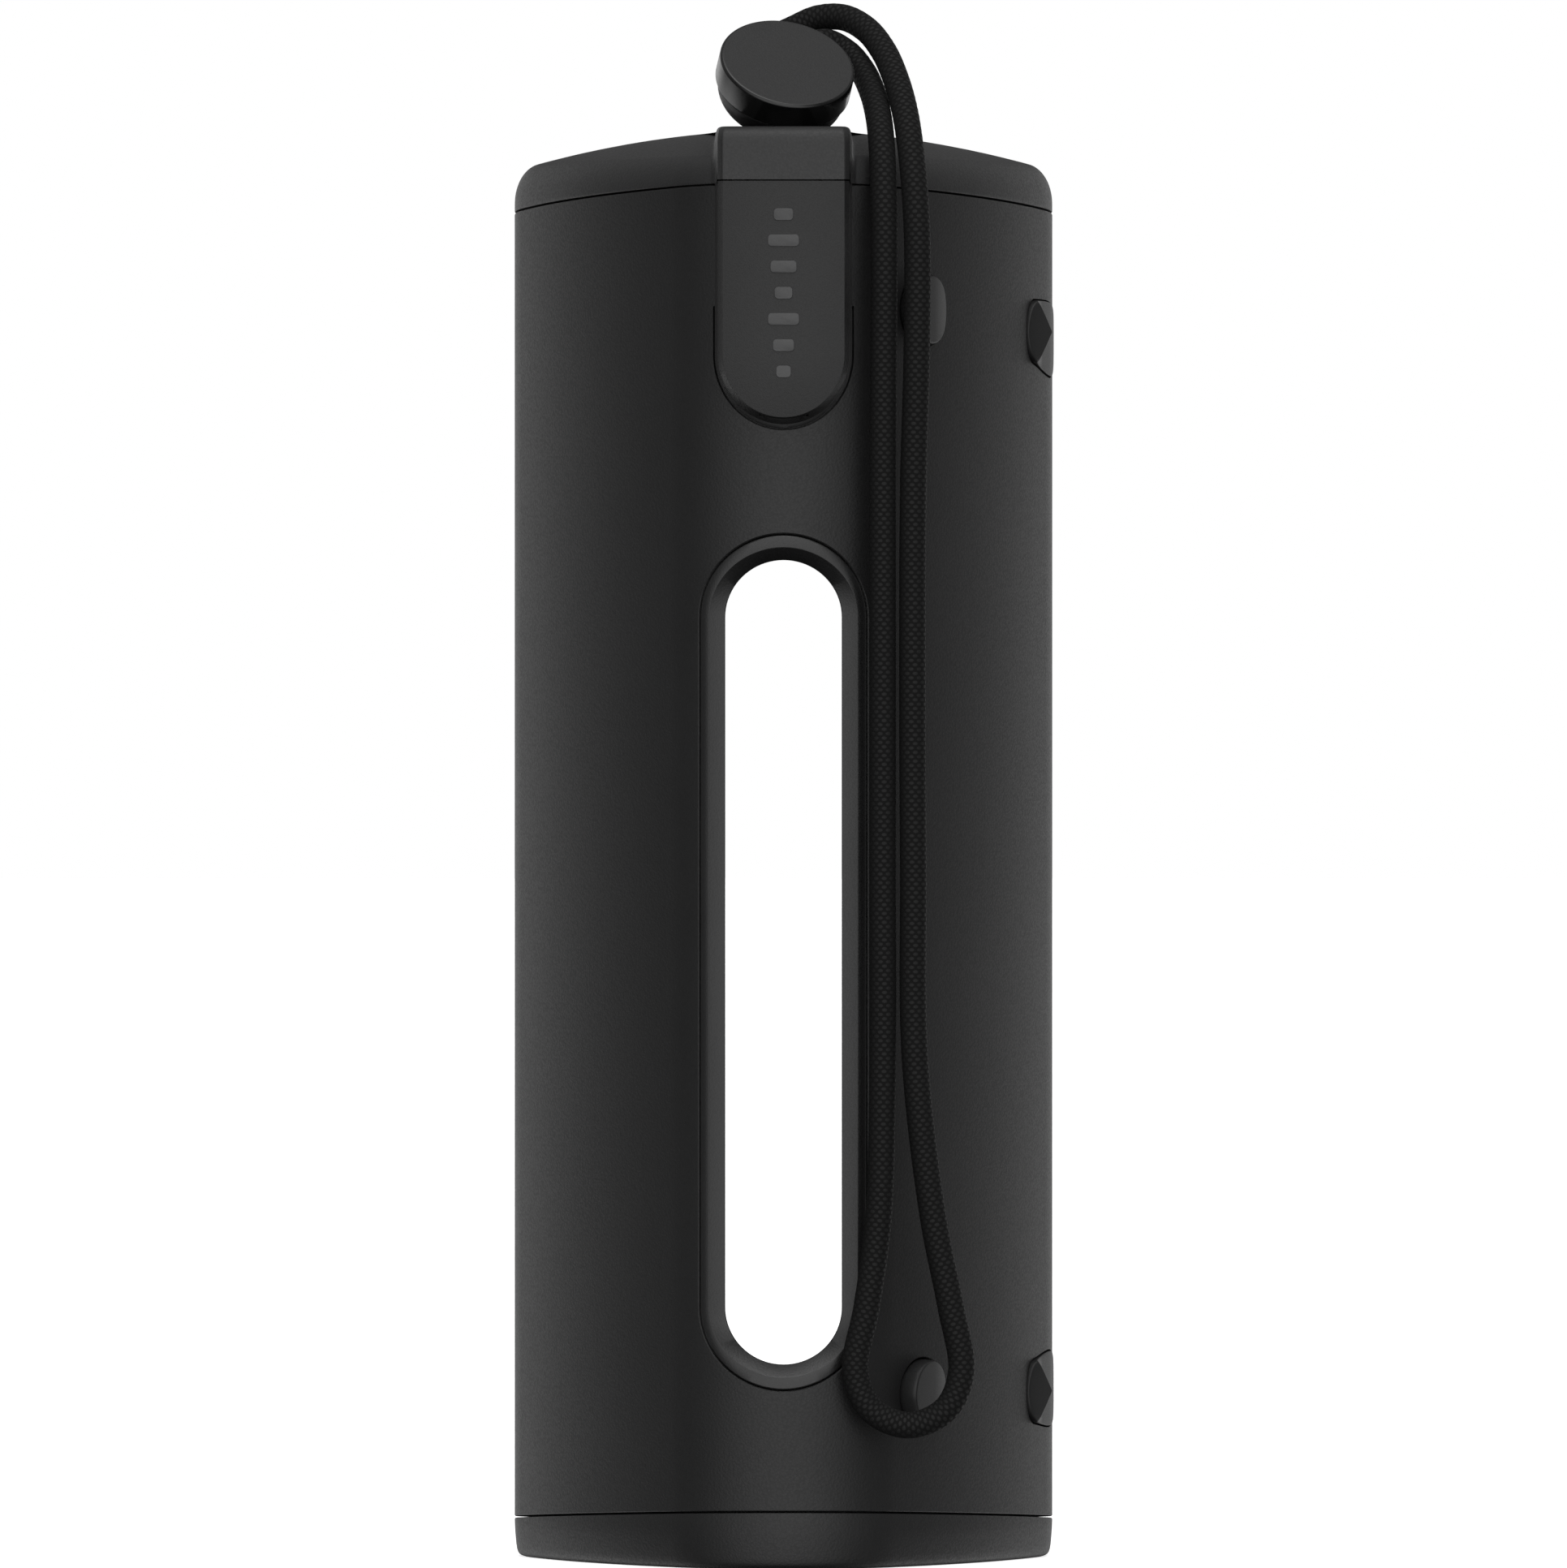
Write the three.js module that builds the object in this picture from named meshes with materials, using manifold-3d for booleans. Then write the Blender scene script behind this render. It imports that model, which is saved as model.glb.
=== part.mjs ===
// Protective carry case for a pocket speaker: a rounded-triangle tube with a lift-off lid, a drop
// latch, soft feet, a long hand slot and a wrist lanyard clamped in a round puck.
// Millimetres, +Z up. The origin is on the underside, on the axis of the triangle; the apex edge
// with the slot and the latch faces -Y.
import * as THREE from 'three';
import { mergeVertices } from 'three/addons/utils/BufferGeometryUtils.js';
import Module from 'manifold-3d';

const wasm = await Module();
wasm.setup();

// ---- driving dimensions ------------------------------------------------------------------------
const GAP = 0.3; // air left between pieces that touch on the real object
const REACH = 200; // longer than anything that a cutting block has to cross

// Cross-section: three corner arcs and three flatter side arcs that meet smoothly.
const CORNER_OUT = 17; // corner arc centres, from the axis
const CORNER_R = 18.4;
const CORNER_HALF = THREE.MathUtils.degToRad(47.87);
const SIDE_BACK = 60; // side arc centres, behind the axis
const SIDE_HALF = Math.PI / 3 - CORNER_HALF;
const SIDE_R = CORNER_R + Math.hypot(SIDE_BACK + CORNER_OUT / 2, CORNER_OUT * Math.sin(Math.PI / 3));
const CORNER_STEPS = 10;
const SIDE_STEPS = 4;

// Walls, from the outside in.
const WALL = 1.8;
const LINER_OUT = WALL + GAP;
const LINER_IN = LINER_OUT + 0.8;
const FLOOR = 2;
const PAD = 1.5;

// The seams are planes that rise a little towards the apex.
const SEAM_Y = 8.5; // the two half shells meet on this plane too
const BOTTOM_SEAM = { z: 4.8, slope: 0.05 };
const TOP_SEAM = { z: 165.4, slope: 0.0547 };

// Lid
const WALL_TOP_Z = 166.6; // where the upright wall turns into the dome's rounded edge
const DOME_EDGE_Z = 171.5;
const DOME_TOP_Z = 175.4;
const DOME_EDGE_IN = 3.5; // how far the rounded edge comes in
const ROOF = 2.2;
const SKIRT_BOTTOM = 158;
const BLOCK = { half: 7.95, front: -37.4, back: -14, bottom: 168.4, top: 174.7 };
const POCKET = { half: 4.5, front: -34.4, back: -19, floor: 170.6 };
const BOSS = { half: 6, back: -17.5, under: 169.8 }; // thickens the roof below the pocket

// Latch
const PIN = { y: -34.9, z: 167.9, r: 0.55, hole: 0.8, half: 6.9 };
const HINGE_SCOOP_R = 2.65;
const EAR = { inner: 4.6, outer: 6.2, r: 1.3, upright: 0.5 };
const KNUCKLE_HALF = 4.2;
const LEVER = { half: 7.6, front: -37.2, bottom: 139.5, top: 168.3, skin: 0.75 };
const CATCH = { half: 2.5, z0: 140.2, z1: 142.4, front: -36.05, back: -34.6 };
const PLATE = { half: 2.1, z0: 143.4, z1: 165.6, front: -37.15, thick: 0.25, bar: 0.25 };
const BARS = [0.9, 1.3, 1.9, 1.1, 1.6, 1.9, 1.2]; // half widths, bottom to top

// Slot in the apex edge and window in the far side
const SLOT = { z: 73.5, straight: 41.8, cut: 10.2, ring: 9.9, open: 7 };
const WINDOW = { half: 22, z0: 16, z1: 152, corner: 8 };

// Feet on the side that the case lies on: domes square to the wall, cut off by one common plane.
const FOOT = { r: 4.3, hole: 4.6, deep: 1.6, plane: 28.85 };
const FOOT_DOME = [[4.3, 0], [3.8, 0.7], [2.9, 1.3], [1.6, 1.75], [0, 1.9]];
const FEET = {
  foot_upper_inner: { along: -13.5, z: 152.7 },
  foot_upper_outer: { along: 15.5, z: 150.6 },
  foot_lower_inner: { along: -13.5, z: 20.9 },
  foot_lower_outer: { along: 15.5, z: 20.9 },
};

// Lanyard
const PUCK = { at: [0.5, -26.8, 182.7], facing: [0.18, -0.63, 0.755], r: 8.3, cap: 3.5, cup: 8, foot: 3.4 };
const KNOT = { y: -23.15, z: 178.2, r: 1.5, hole: 1.95 };
const BAR = { y: -28, z: 173.5, r: 0.7 };
const TETHER = { r: 0.75, turn: 1.8, apart: 0.9 };
const SWING = 40; // degrees that the puck tips back
const CORD_R = 1.6;
const CORD_SIDES = 8;
const CORD_STEPS = 78;
// Both strands leave the rim of the puck, arch over its right side, hang beside the slot and join
// in one loop.
const CORD_ROUTE = [
  [-3.4, -21.3, 182.3], [-4.7, -18.8, 183.9], [-5.0, -16.3, 184.9], [-3.9, -14.3, 185.3],
  [-1.7, -13.0, 186.0], [1.1, -12.5, 187.3], [4.1, -12.7, 188.6], [7.2, -14.0, 188.7],
  [10.0, -16.6, 187.2], [12.1, -19.9, 184.5], [13.6, -23.7, 181.0], [14.7, -27.7, 176.9],
  [15.4, -31.3, 172.2], [15.9, -33.9, 166.8], [16.2, -35.1, 160.0], [16.1, -35.4, 146.0],
  [15.7, -35.4, 131.0], [15.6, -35.4, 108.0], [15.7, -35.4, 85.0], [15.9, -35.4, 62.0],
  [18.1, -35.4, 42.7], [20.2, -35.4, 32.0], [21.5, -35.4, 23.9], [19.6, -35.4, 19.4],
  [15.1, -35.4, 17.5], [10.6, -35.4, 19.4], [8.7, -35.4, 23.9], [10.1, -35.4, 32.0],
  [11.5, -35.4, 42.7], [12.0, -35.4, 62.0], [12.0, -35.4, 85.0], [12.0, -35.4, 108.0],
  [12.0, -35.4, 131.0], [12.1, -35.3, 146.0], [12.2, -35.0, 160.0], [12.1, -33.7, 167.3],
  [11.9, -30.9, 172.6], [11.5, -26.8, 176.4], [10.8, -22.5, 179.3], [9.6, -18.9, 182.0],
  [7.7, -16.6, 184.3], [5.2, -16.5, 185.6], [2.8, -18.4, 184.7], [0.9, -21.3, 182.5],
];

// ---- colours -----------------------------------------------------------------------------------
const plastic = (color, roughness) => new THREE.MeshStandardMaterial({ color, roughness, metalness: 0 });
const SHELL_BLACK = plastic(0x1d1d1e, 0.55);
const LID_BLACK = plastic(0x222223, 0.5);
const LATCH_BLACK = plastic(0x262627, 0.6);
const PUCK_BLACK = plastic(0x1b1b1c, 0.45);
const MARK_GREY = plastic(0x4c4c4e, 0.5);
const RUBBER_BLACK = plastic(0x161617, 0.7);
const LINING_GREY = plastic(0x3a3b3d, 0.95);
const FOAM_GREY = plastic(0x2b2c2e, 0.98);
const CORD_BLACK = plastic(0x111112, 0.85);
const STEEL = new THREE.MeshStandardMaterial({ color: 0x9a9b9d, roughness: 0.35, metalness: 1 });

// ---- solids ------------------------------------------------------------------------------------
function solid(geometry) {
  const bare = new THREE.BufferGeometry();
  bare.setAttribute('position', geometry.getAttribute('position'));
  if (geometry.index) bare.setIndex(geometry.index);
  const merged = mergeVertices(bare, 1e-4);
  return new wasm.Manifold(new wasm.Mesh({
    numProp: 3,
    vertProperties: new Float32Array(merged.getAttribute('position').array),
    triVerts: new Uint32Array(merged.index.array),
  }));
}

function joined(...solids) {
  return solids.reduce((sum, next) => sum.add(next));
}

function node(name, body, material) {
  const mesh = body.getMesh();
  const geometry = new THREE.BufferGeometry();
  geometry.setAttribute('position', new THREE.BufferAttribute(mesh.vertProperties, 3));
  geometry.setIndex(new THREE.BufferAttribute(mesh.triVerts, 1));
  geometry.computeVertexNormals();
  const result = new THREE.Mesh(geometry, material);
  result.name = name;
  return result;
}

function box(x0, x1, y0, y1, z0, z1) {
  const geometry = new THREE.BoxGeometry(x1 - x0, y1 - y0, z1 - z0);
  return solid(geometry.translate((x0 + x1) / 2, (y0 + y1) / 2, (z0 + z1) / 2));
}

// A round bar along X.
function barX(r, x0, x1, y, z, sides = 20) {
  const geometry = new THREE.CylinderGeometry(r, r, x1 - x0, sides);
  return solid(geometry.rotateZ(Math.PI / 2).translate((x0 + x1) / 2, y, z));
}

// A lathed piece whose axis starts at `at` and runs along `facing`. Profile points are [r, height].
function turned(profile, at, facing, sides = 24) {
  const points = profile.map(([r, h]) => new THREE.Vector2(r, h));
  const turn = new THREE.Quaternion();
  turn.setFromUnitVectors(new THREE.Vector3(0, 1, 0), new THREE.Vector3(...facing).normalize());
  const geometry = new THREE.LatheGeometry(points, sides).applyQuaternion(turn);
  return solid(geometry.translate(...at));
}

function tubeAlong(curve, r, sides, steps) {
  const section = new THREE.Shape();
  for (let i = 0; i < sides; i += 1) {
    const a = (2 * Math.PI * i) / sides;
    if (i === 0) section.moveTo(r, 0);
    else section.lineTo(r * Math.cos(a), r * Math.sin(a));
  }
  section.closePath();
  return solid(new THREE.ExtrudeGeometry(section, { steps, extrudePath: curve, bevelEnabled: false }));
}

// The outline of the case, moved in by `inset`: points at fixed angles, so insets stay parallel.
function outline(inset) {
  const points = [];
  const arc = (centre, r, from, sweep, steps) => {
    for (let i = 0; i < steps; i += 1) {
      const a = from + (sweep * i) / steps;
      points.push(new THREE.Vector2(centre.x + r * Math.cos(a), centre.y + r * Math.sin(a)));
    }
  };
  for (let k = 0; k < 3; k += 1) {
    const corner = -Math.PI / 2 + (k * 2 * Math.PI) / 3;
    const side = corner + Math.PI / 3;
    const corner_at = new THREE.Vector2(Math.cos(corner), Math.sin(corner)).multiplyScalar(CORNER_OUT);
    const side_at = new THREE.Vector2(Math.cos(side), Math.sin(side)).multiplyScalar(-SIDE_BACK);
    arc(corner_at, CORNER_R - inset, corner - CORNER_HALF, 2 * CORNER_HALF, CORNER_STEPS);
    arc(side_at, SIDE_R - inset, side - SIDE_HALF, 2 * SIDE_HALF, SIDE_STEPS);
  }
  return points;
}

function prism(points, z0, z1) {
  const geometry = new THREE.ExtrudeGeometry(new THREE.Shape(points), { depth: z1 - z0, bevelEnabled: false });
  return solid(geometry.translate(0, 0, z0));
}

function tube(outer, inner, z0, z1) {
  return prism(outline(outer), z0, z1).subtract(prism(outline(inner), z0 - 1, z1 + 1));
}

// A stack of outlines, each { inset, scale, z }, closed by a fan at both ends.
function loft(levels) {
  const rings = levels.map(({ inset, scale = 1, z }) =>
    outline(inset).map((p) => new THREE.Vector3(p.x * scale, p.y * scale, z)));
  const count = rings[0].length;
  const positions = rings.flat().flatMap((p) => [p.x, p.y, p.z]);
  const index = [];
  for (let r = 0; r + 1 < rings.length; r += 1) {
    for (let i = 0; i < count; i += 1) {
      const a = r * count + i;
      const b = r * count + ((i + 1) % count);
      index.push(a, b, b + count, a, b + count, a + count);
    }
  }
  const low = positions.length / 3;
  positions.push(0, 0, levels[0].z, 0, 0, levels[levels.length - 1].z);
  const last = (rings.length - 1) * count;
  for (let i = 0; i < count; i += 1) {
    const next = (i + 1) % count;
    index.push(low, next, i, low + 1, last + i, last + next);
  }
  const geometry = new THREE.BufferGeometry();
  geometry.setAttribute('position', new THREE.Float32BufferAttribute(positions, 3));
  geometry.setIndex(index);
  return solid(geometry);
}

// Everything above (side 1) or below (side -1) a seam, starting half a gap away from it.
function beyond(seam, side) {
  const geometry = new THREE.BoxGeometry(REACH, REACH, REACH);
  geometry.translate(0, 0, side * (REACH / 2 + GAP / 2));
  geometry.rotateX(-Math.atan(seam.slope));
  return solid(geometry.translate(0, SEAM_Y, seam.z));
}

// A shape drawn in X and Z, run from y0 to y1.
function plateY(shape, y0, y1, segments) {
  const geometry = new THREE.ExtrudeGeometry(shape, { depth: y1 - y0, bevelEnabled: false, curveSegments: segments });
  return solid(geometry.rotateX(Math.PI / 2).translate(0, y1, 0));
}

function stadium(half) {
  const shape = new THREE.Shape();
  shape.absarc(0, SLOT.z + SLOT.straight, half, 0, Math.PI, false);
  shape.absarc(0, SLOT.z - SLOT.straight, half, Math.PI, 2 * Math.PI, false);
  return shape;
}

function roundedWindow(grow) {
  const half = WINDOW.half + grow;
  const [low, high] = [WINDOW.z0 - grow, WINDOW.z1 + grow];
  const r = WINDOW.corner;
  const shape = new THREE.Shape();
  shape.absarc(half - r, high - r, r, 0, Math.PI / 2, false);
  shape.absarc(r - half, high - r, r, Math.PI / 2, Math.PI, false);
  shape.absarc(r - half, low + r, r, Math.PI, 1.5 * Math.PI, false);
  shape.absarc(half - r, low + r, r, 1.5 * Math.PI, 2 * Math.PI, false);
  return shape;
}

// ---- case --------------------------------------------------------------------------------------
function bottomCap() {
  const outer = loft([
    { inset: 1.2, z: 0 }, { inset: 0.45, z: 0.35 }, { inset: 0.2, z: 1.2 }, { inset: 0, z: 4.4 }, { inset: 0, z: 9 },
  ]);
  return outer.subtract(prism(outline(WALL), FLOOR, 12)).subtract(beyond(BOTTOM_SEAM, 1).translate(0, 0, -GAP));
}

function caseWall() {
  return tube(0, WALL, 1, 172)
    .subtract(beyond(BOTTOM_SEAM, -1).translate(0, 0, GAP))
    .subtract(beyond(TOP_SEAM, 1).translate(0, 0, -GAP));
}

// The side that the feet stand on faces this way, and runs back along the other.
const FOOT_SIDE = new THREE.Vector3(Math.cos(Math.PI / 6), -Math.sin(Math.PI / 6), 0);
const FOOT_ALONG = new THREE.Vector3(Math.sin(Math.PI / 6), Math.cos(Math.PI / 6), 0);

// A foot's axis leaves the wall square to it; `level` is how far along the axis to start.
function onFootAxis({ along, z }, level, profile) {
  const out = Math.sqrt(SIDE_R * SIDE_R - along * along);
  const facing = FOOT_SIDE.clone().multiplyScalar(out / SIDE_R).addScaledVector(FOOT_ALONG, along / SIDE_R);
  const at = FOOT_SIDE.clone().multiplyScalar(out - SIDE_BACK).addScaledVector(FOOT_ALONG, along);
  at.addScaledVector(facing, level).add(new THREE.Vector3(0, 0, z));
  return turned(profile, [at.x, at.y, at.z], facing);
}

function backShell() {
  let shell = caseWall().subtract(box(-REACH, REACH, SEAM_Y - GAP / 2, REACH, -REACH, REACH));
  shell = shell.subtract(plateY(stadium(SLOT.cut), -50, -10, 12));
  for (const place of Object.values(FEET)) {
    shell = shell.subtract(onFootAxis(place, -5, [[0, 0], [FOOT.hole, 0], [FOOT.hole, 10], [0, 10]]));
  }
  const knuckleNotch = box(-LEVER.half - 0.6, LEVER.half + 0.6, -50, -30, 164.9, REACH);
  const catchSeat = box(-CATCH.half - GAP, CATCH.half + GAP, -50, CATCH.back + GAP, CATCH.z0 - GAP, CATCH.z1 + GAP);
  return shell.subtract(knuckleNotch).subtract(catchSeat);
}

function frontFrame() {
  return caseWall()
    .subtract(box(-REACH, REACH, -REACH, SEAM_Y + GAP / 2, -REACH, REACH))
    .subtract(plateY(roundedWindow(0), 15, 50, 4));
}

function innerLiner() {
  return tube(LINER_OUT, LINER_IN, FLOOR + GAP, SKIRT_BOTTOM - 2.4)
    .subtract(plateY(stadium(SLOT.cut), -50, -10, 12))
    .subtract(plateY(roundedWindow(1), 15, 50, 4));
}

function slotBezel() {
  const ring = plateY(stadium(SLOT.ring), -50, -20, 12).subtract(plateY(stadium(SLOT.open), -51, -10, 12));
  return tube(0, LINER_IN, 0, 160).intersect(ring);
}

function bottomPad() {
  return prism(outline(LINER_IN + GAP), FLOOR + GAP, FLOOR + GAP + PAD);
}

function foot(place) {
  const dome = FOOT_DOME.map(([r, h]) => [r, h + FOOT.deep]);
  const beyondPlane = new THREE.BoxGeometry(20, REACH, REACH).translate(FOOT.plane + 10, 0, place.z);
  return onFootAxis(place, -FOOT.deep, [[0, 0], [FOOT.r, 0], ...dome])
    .subtract(solid(beyondPlane.rotateZ(-Math.PI / 6)));
}

function latchCatch() {
  return box(-CATCH.half, CATCH.half, CATCH.front, CATCH.back, CATCH.z0, CATCH.z1);
}

// ---- lid ---------------------------------------------------------------------------------------
// Height of the dome at a fraction of the way out to its rounded edge.
function domeHeight(fraction) {
  return DOME_EDGE_Z + (DOME_TOP_Z - DOME_EDGE_Z) * (1 - fraction * fraction);
}

function domeLevels(inset, drop) {
  const rise = DOME_EDGE_Z - drop - WALL_TOP_Z;
  const edge = [0, 0.35, 0.7, 1].map((t) => ({
    inset: inset + DOME_EDGE_IN * (1 - Math.cos((t * Math.PI) / 2)),
    z: WALL_TOP_Z + rise * Math.sin((t * Math.PI) / 2),
  }));
  const crown = [0.85, 0.65, 0.4, 0.15].map((scale) => ({
    inset: inset + DOME_EDGE_IN, scale, z: domeHeight(scale) - drop,
  }));
  return [{ inset, z: 150 }, ...edge, ...crown];
}

function topCap() {
  const { half, front, back, bottom, top } = BLOCK;
  const block = box(-half, half, front, back, bottom, top);
  let cap = loft(domeLevels(0, 0)).subtract(beyond(TOP_SEAM, -1).translate(0, 0, GAP));
  const boss = box(-BOSS.half, BOSS.half, front, BOSS.back, BOSS.under, REACH);
  const hollow = loft(domeLevels(WALL, ROOF)).subtract(boss);
  cap = cap.add(block).subtract(hollow);
  cap = cap.subtract(barX(HINGE_SCOOP_R, -half - 0.3, half + 0.3, PIN.y, PIN.z, 32));
  cap = cap.subtract(box(-POCKET.half, POCKET.half, POCKET.front, POCKET.back, POCKET.floor, REACH));
  for (const side of [-1, 1]) {
    const [x0, x1] = [EAR.inner, EAR.outer].map((x) => x * side).sort((a, b) => a - b);
    const upright = box(x0, x1, PIN.y - EAR.upright, PIN.y + EAR.r, PIN.z, PIN.z + 3.4);
    const ear = joined(upright, barX(EAR.r, x0, x1, PIN.y, PIN.z));
    cap = cap.add(ear.subtract(barX(PIN.hole, x0 - 1, x1 + 1, PIN.y, PIN.z)));
  }
  return cap;
}

function lidSkirt() {
  return tube(LINER_OUT, LINER_IN, SKIRT_BOTTOM, WALL_TOP_Z - GAP);
}

function lidSeal() {
  return tube(LINER_OUT, LINER_IN, SKIRT_BOTTOM - 2.1, SKIRT_BOTTOM - GAP);
}

function topPad() {
  const under = ROOF + GAP;
  const inset = WALL + DOME_EDGE_IN;
  const crown = [0.8, 0.6, 0.35, 0.12].map((scale) => ({ inset, scale, z: domeHeight(scale) - under }));
  const pad = loft([{ inset, scale: 0.8, z: domeHeight(0.8) - under - 1.2 }, ...crown]);
  return pad.subtract(box(-BOSS.half - GAP, BOSS.half + GAP, -REACH, BOSS.back + GAP, 0, REACH));
}

// ---- latch -------------------------------------------------------------------------------------
function leverShape() {
  const { half, bottom, top } = LEVER;
  const shape = new THREE.Shape();
  shape.moveTo(half, top);
  shape.lineTo(-half, top);
  shape.absarc(0, bottom + half, half, Math.PI, 2 * Math.PI, false);
  return shape;
}

function latchLever() {
  const { half, front, top, skin } = LEVER;
  const inside = front + skin;
  let lever = plateY(leverShape(), front, -30, 16).subtract(prism(outline(-GAP), 100, 200));
  lever = lever.subtract(box(-50, 50, inside, -20, PIN.z - 2.3, 200));
  const knuckle = joined(
    barX(EAR.r, -KNUCKLE_HALF, KNUCKLE_HALF, PIN.y, PIN.z),
    box(-KNUCKLE_HALF, KNUCKLE_HALF, inside - 0.2, PIN.y, PIN.z - EAR.r, top),
  );
  lever = lever.add(knuckle).subtract(barX(PIN.hole, -half - 1, half + 1, PIN.y, PIN.z));
  const catchRoom = box(-CATCH.half - 0.5, CATCH.half + 0.5, CATCH.front - 0.35, -20, 100, CATCH.z1 + 0.4);
  const plateSeat = box(-PLATE.half - GAP, PLATE.half + GAP, -50, PLATE.front + PLATE.thick + GAP,
    PLATE.z0 - GAP, PLATE.z1 + GAP);
  return lever.subtract(catchRoom).subtract(plateSeat);
}

function levelPlate() {
  const { half, z0, z1, front, thick, bar } = PLATE;
  const pitch = (z1 - z0) / BARS.length;
  const bars = BARS.map((w, i) => {
    const z = z0 + pitch * (i + 0.5);
    return box(-w, w, front - bar, front + thick / 2, z - pitch / 4, z + pitch / 4);
  });
  return joined(box(-half, half, front, front + thick, z0, z1), ...bars);
}

function latchPin() {
  return barX(PIN.r, -PIN.half, PIN.half, PIN.y, PIN.z, 12);
}

// ---- lanyard -----------------------------------------------------------------------------------
function cordAlong(r) {
  const curve = new THREE.CatmullRomCurve3(CORD_ROUTE.map((p) => new THREE.Vector3(...p)), false, 'centripetal');
  return tubeAlong(curve, r, CORD_SIDES, CORD_STEPS);
}

// The channels that the two ends of the cord are clamped in.
function cordRoom() {
  const ends = [CORD_ROUTE[0], CORD_ROUTE[CORD_ROUTE.length - 1]].map((p) =>
    solid(new THREE.SphereGeometry(CORD_R + GAP, 12, 8).translate(...p)));
  return joined(cordAlong(CORD_R + GAP), ...ends);
}

// Profile heights run down from the puck's face.
function puckCap() {
  const { r, cap } = PUCK;
  const profile = [[0, -cap], [r - 0.2, -cap], [r, 0.3 - cap], [r, -0.5], [r - 0.5, 0], [0, 0]];
  return turned(profile, PUCK.at, PUCK.facing, 36).subtract(cordRoom());
}

function puckCup() {
  const { r, cap, cup, foot: low } = PUCK;
  const top = -cap - GAP;
  const bowl = turned([[0, -cup], [low, -cup], [low + 1.6, -cup + 1.4], [r - 0.7, top - 0.9], [r - 0.4, top], [0, top]],
    PUCK.at, PUCK.facing, 36);
  // Room for the knot, and for the tether at every angle that the puck takes.
  let room = barX(KNOT.hole, -KNOT.hole, KNOT.hole, KNOT.y, KNOT.z);
  const toBar = Math.atan2(BAR.z - KNOT.z, BAR.y - KNOT.y);
  for (const part of [0, 0.5, 1]) {
    const way = new THREE.BoxGeometry(2 * KNOT.hole, 12, 5.8).translate(0, 6, 0);
    way.rotateX(toBar + part * THREE.MathUtils.degToRad(SWING));
    room = room.add(solid(way.translate(0, KNOT.y, KNOT.z)));
  }
  return bowl.subtract(room).subtract(cordRoom());
}

function anchorBar() {
  return barX(BAR.r, GAP - POCKET.half, POCKET.half - GAP, BAR.y, BAR.z, 16);
}

function tetherLoop() {
  const toKnot = Math.atan2(KNOT.z - BAR.z, KNOT.y - BAR.y);
  const knotSide = (sign) => new THREE.Vector3(
    0, KNOT.y - sign * TETHER.apart * Math.sin(toKnot), KNOT.z + sign * TETHER.apart * Math.cos(toKnot));
  const points = [knotSide(1)];
  for (let i = 0; i <= 6; i += 1) {
    const a = toKnot + Math.PI / 2 + (Math.PI * i) / 6;
    points.push(new THREE.Vector3(0, BAR.y + TETHER.turn * Math.cos(a), BAR.z + TETHER.turn * Math.sin(a)));
  }
  points.push(knotSide(-1));
  const loop = tubeAlong(new THREE.CatmullRomCurve3(points), TETHER.r, 8, 22);
  const knot = new THREE.SphereGeometry(KNOT.r, 14, 10).translate(0, KNOT.y, KNOT.z);
  return loop.add(solid(knot));
}

// ---- the object --------------------------------------------------------------------------------
const object = new THREE.Group();
object.name = 'carry_case';

object.add(
  node('bottom_cap', bottomCap(), SHELL_BLACK),
  node('back_shell', backShell(), SHELL_BLACK),
  node('front_frame', frontFrame(), SHELL_BLACK),
  node('slot_bezel', slotBezel(), LATCH_BLACK),
  node('inner_liner', innerLiner(), LINING_GREY),
  node('bottom_pad', bottomPad(), FOAM_GREY),
  node('latch_catch', latchCatch(), STEEL),
);
for (const [name, place] of Object.entries(FEET)) {
  object.add(node(name, foot(place), RUBBER_BLACK));
}

object.add(
  node('top_cap', topCap(), LID_BLACK),
  node('lid_skirt', lidSkirt(), SHELL_BLACK),
  node('lid_seal', lidSeal(), RUBBER_BLACK),
  node('top_pad', topPad(), FOAM_GREY),
  node('latch_pin', latchPin(), STEEL),
  node('anchor_bar', anchorBar(), STEEL),
  node('tether_loop', tetherLoop(), CORD_BLACK),
);

object.add(
  node('latch_lever', latchLever(), LATCH_BLACK),
  node('level_plate', levelPlate(), MARK_GREY),
);

object.add(
  node('puck_cap', puckCap(), PUCK_BLACK),
  node('puck_cup', puckCup(), PUCK_BLACK),
  node('lanyard_cord', cordAlong(CORD_R), CORD_BLACK),
);

export default object;
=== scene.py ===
import math

import bmesh
import bpy
import numpy as np
from mathutils import Matrix, Vector


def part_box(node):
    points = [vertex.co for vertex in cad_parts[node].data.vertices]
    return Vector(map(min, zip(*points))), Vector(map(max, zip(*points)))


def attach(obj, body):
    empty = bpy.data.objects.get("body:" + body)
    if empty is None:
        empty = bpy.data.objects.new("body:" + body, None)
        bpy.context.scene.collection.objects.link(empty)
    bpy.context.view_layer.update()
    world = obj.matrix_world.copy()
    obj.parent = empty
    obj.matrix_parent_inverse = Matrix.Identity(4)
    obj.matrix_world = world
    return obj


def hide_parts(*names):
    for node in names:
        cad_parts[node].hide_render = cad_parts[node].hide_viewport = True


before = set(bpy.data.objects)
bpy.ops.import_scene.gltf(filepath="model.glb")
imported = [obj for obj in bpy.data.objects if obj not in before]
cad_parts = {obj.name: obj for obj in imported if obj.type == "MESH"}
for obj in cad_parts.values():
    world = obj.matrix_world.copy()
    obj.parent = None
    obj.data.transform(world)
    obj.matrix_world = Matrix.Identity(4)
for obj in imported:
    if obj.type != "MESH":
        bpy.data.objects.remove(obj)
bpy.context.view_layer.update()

MM = 0.001
TURN = 2 * math.pi

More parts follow.
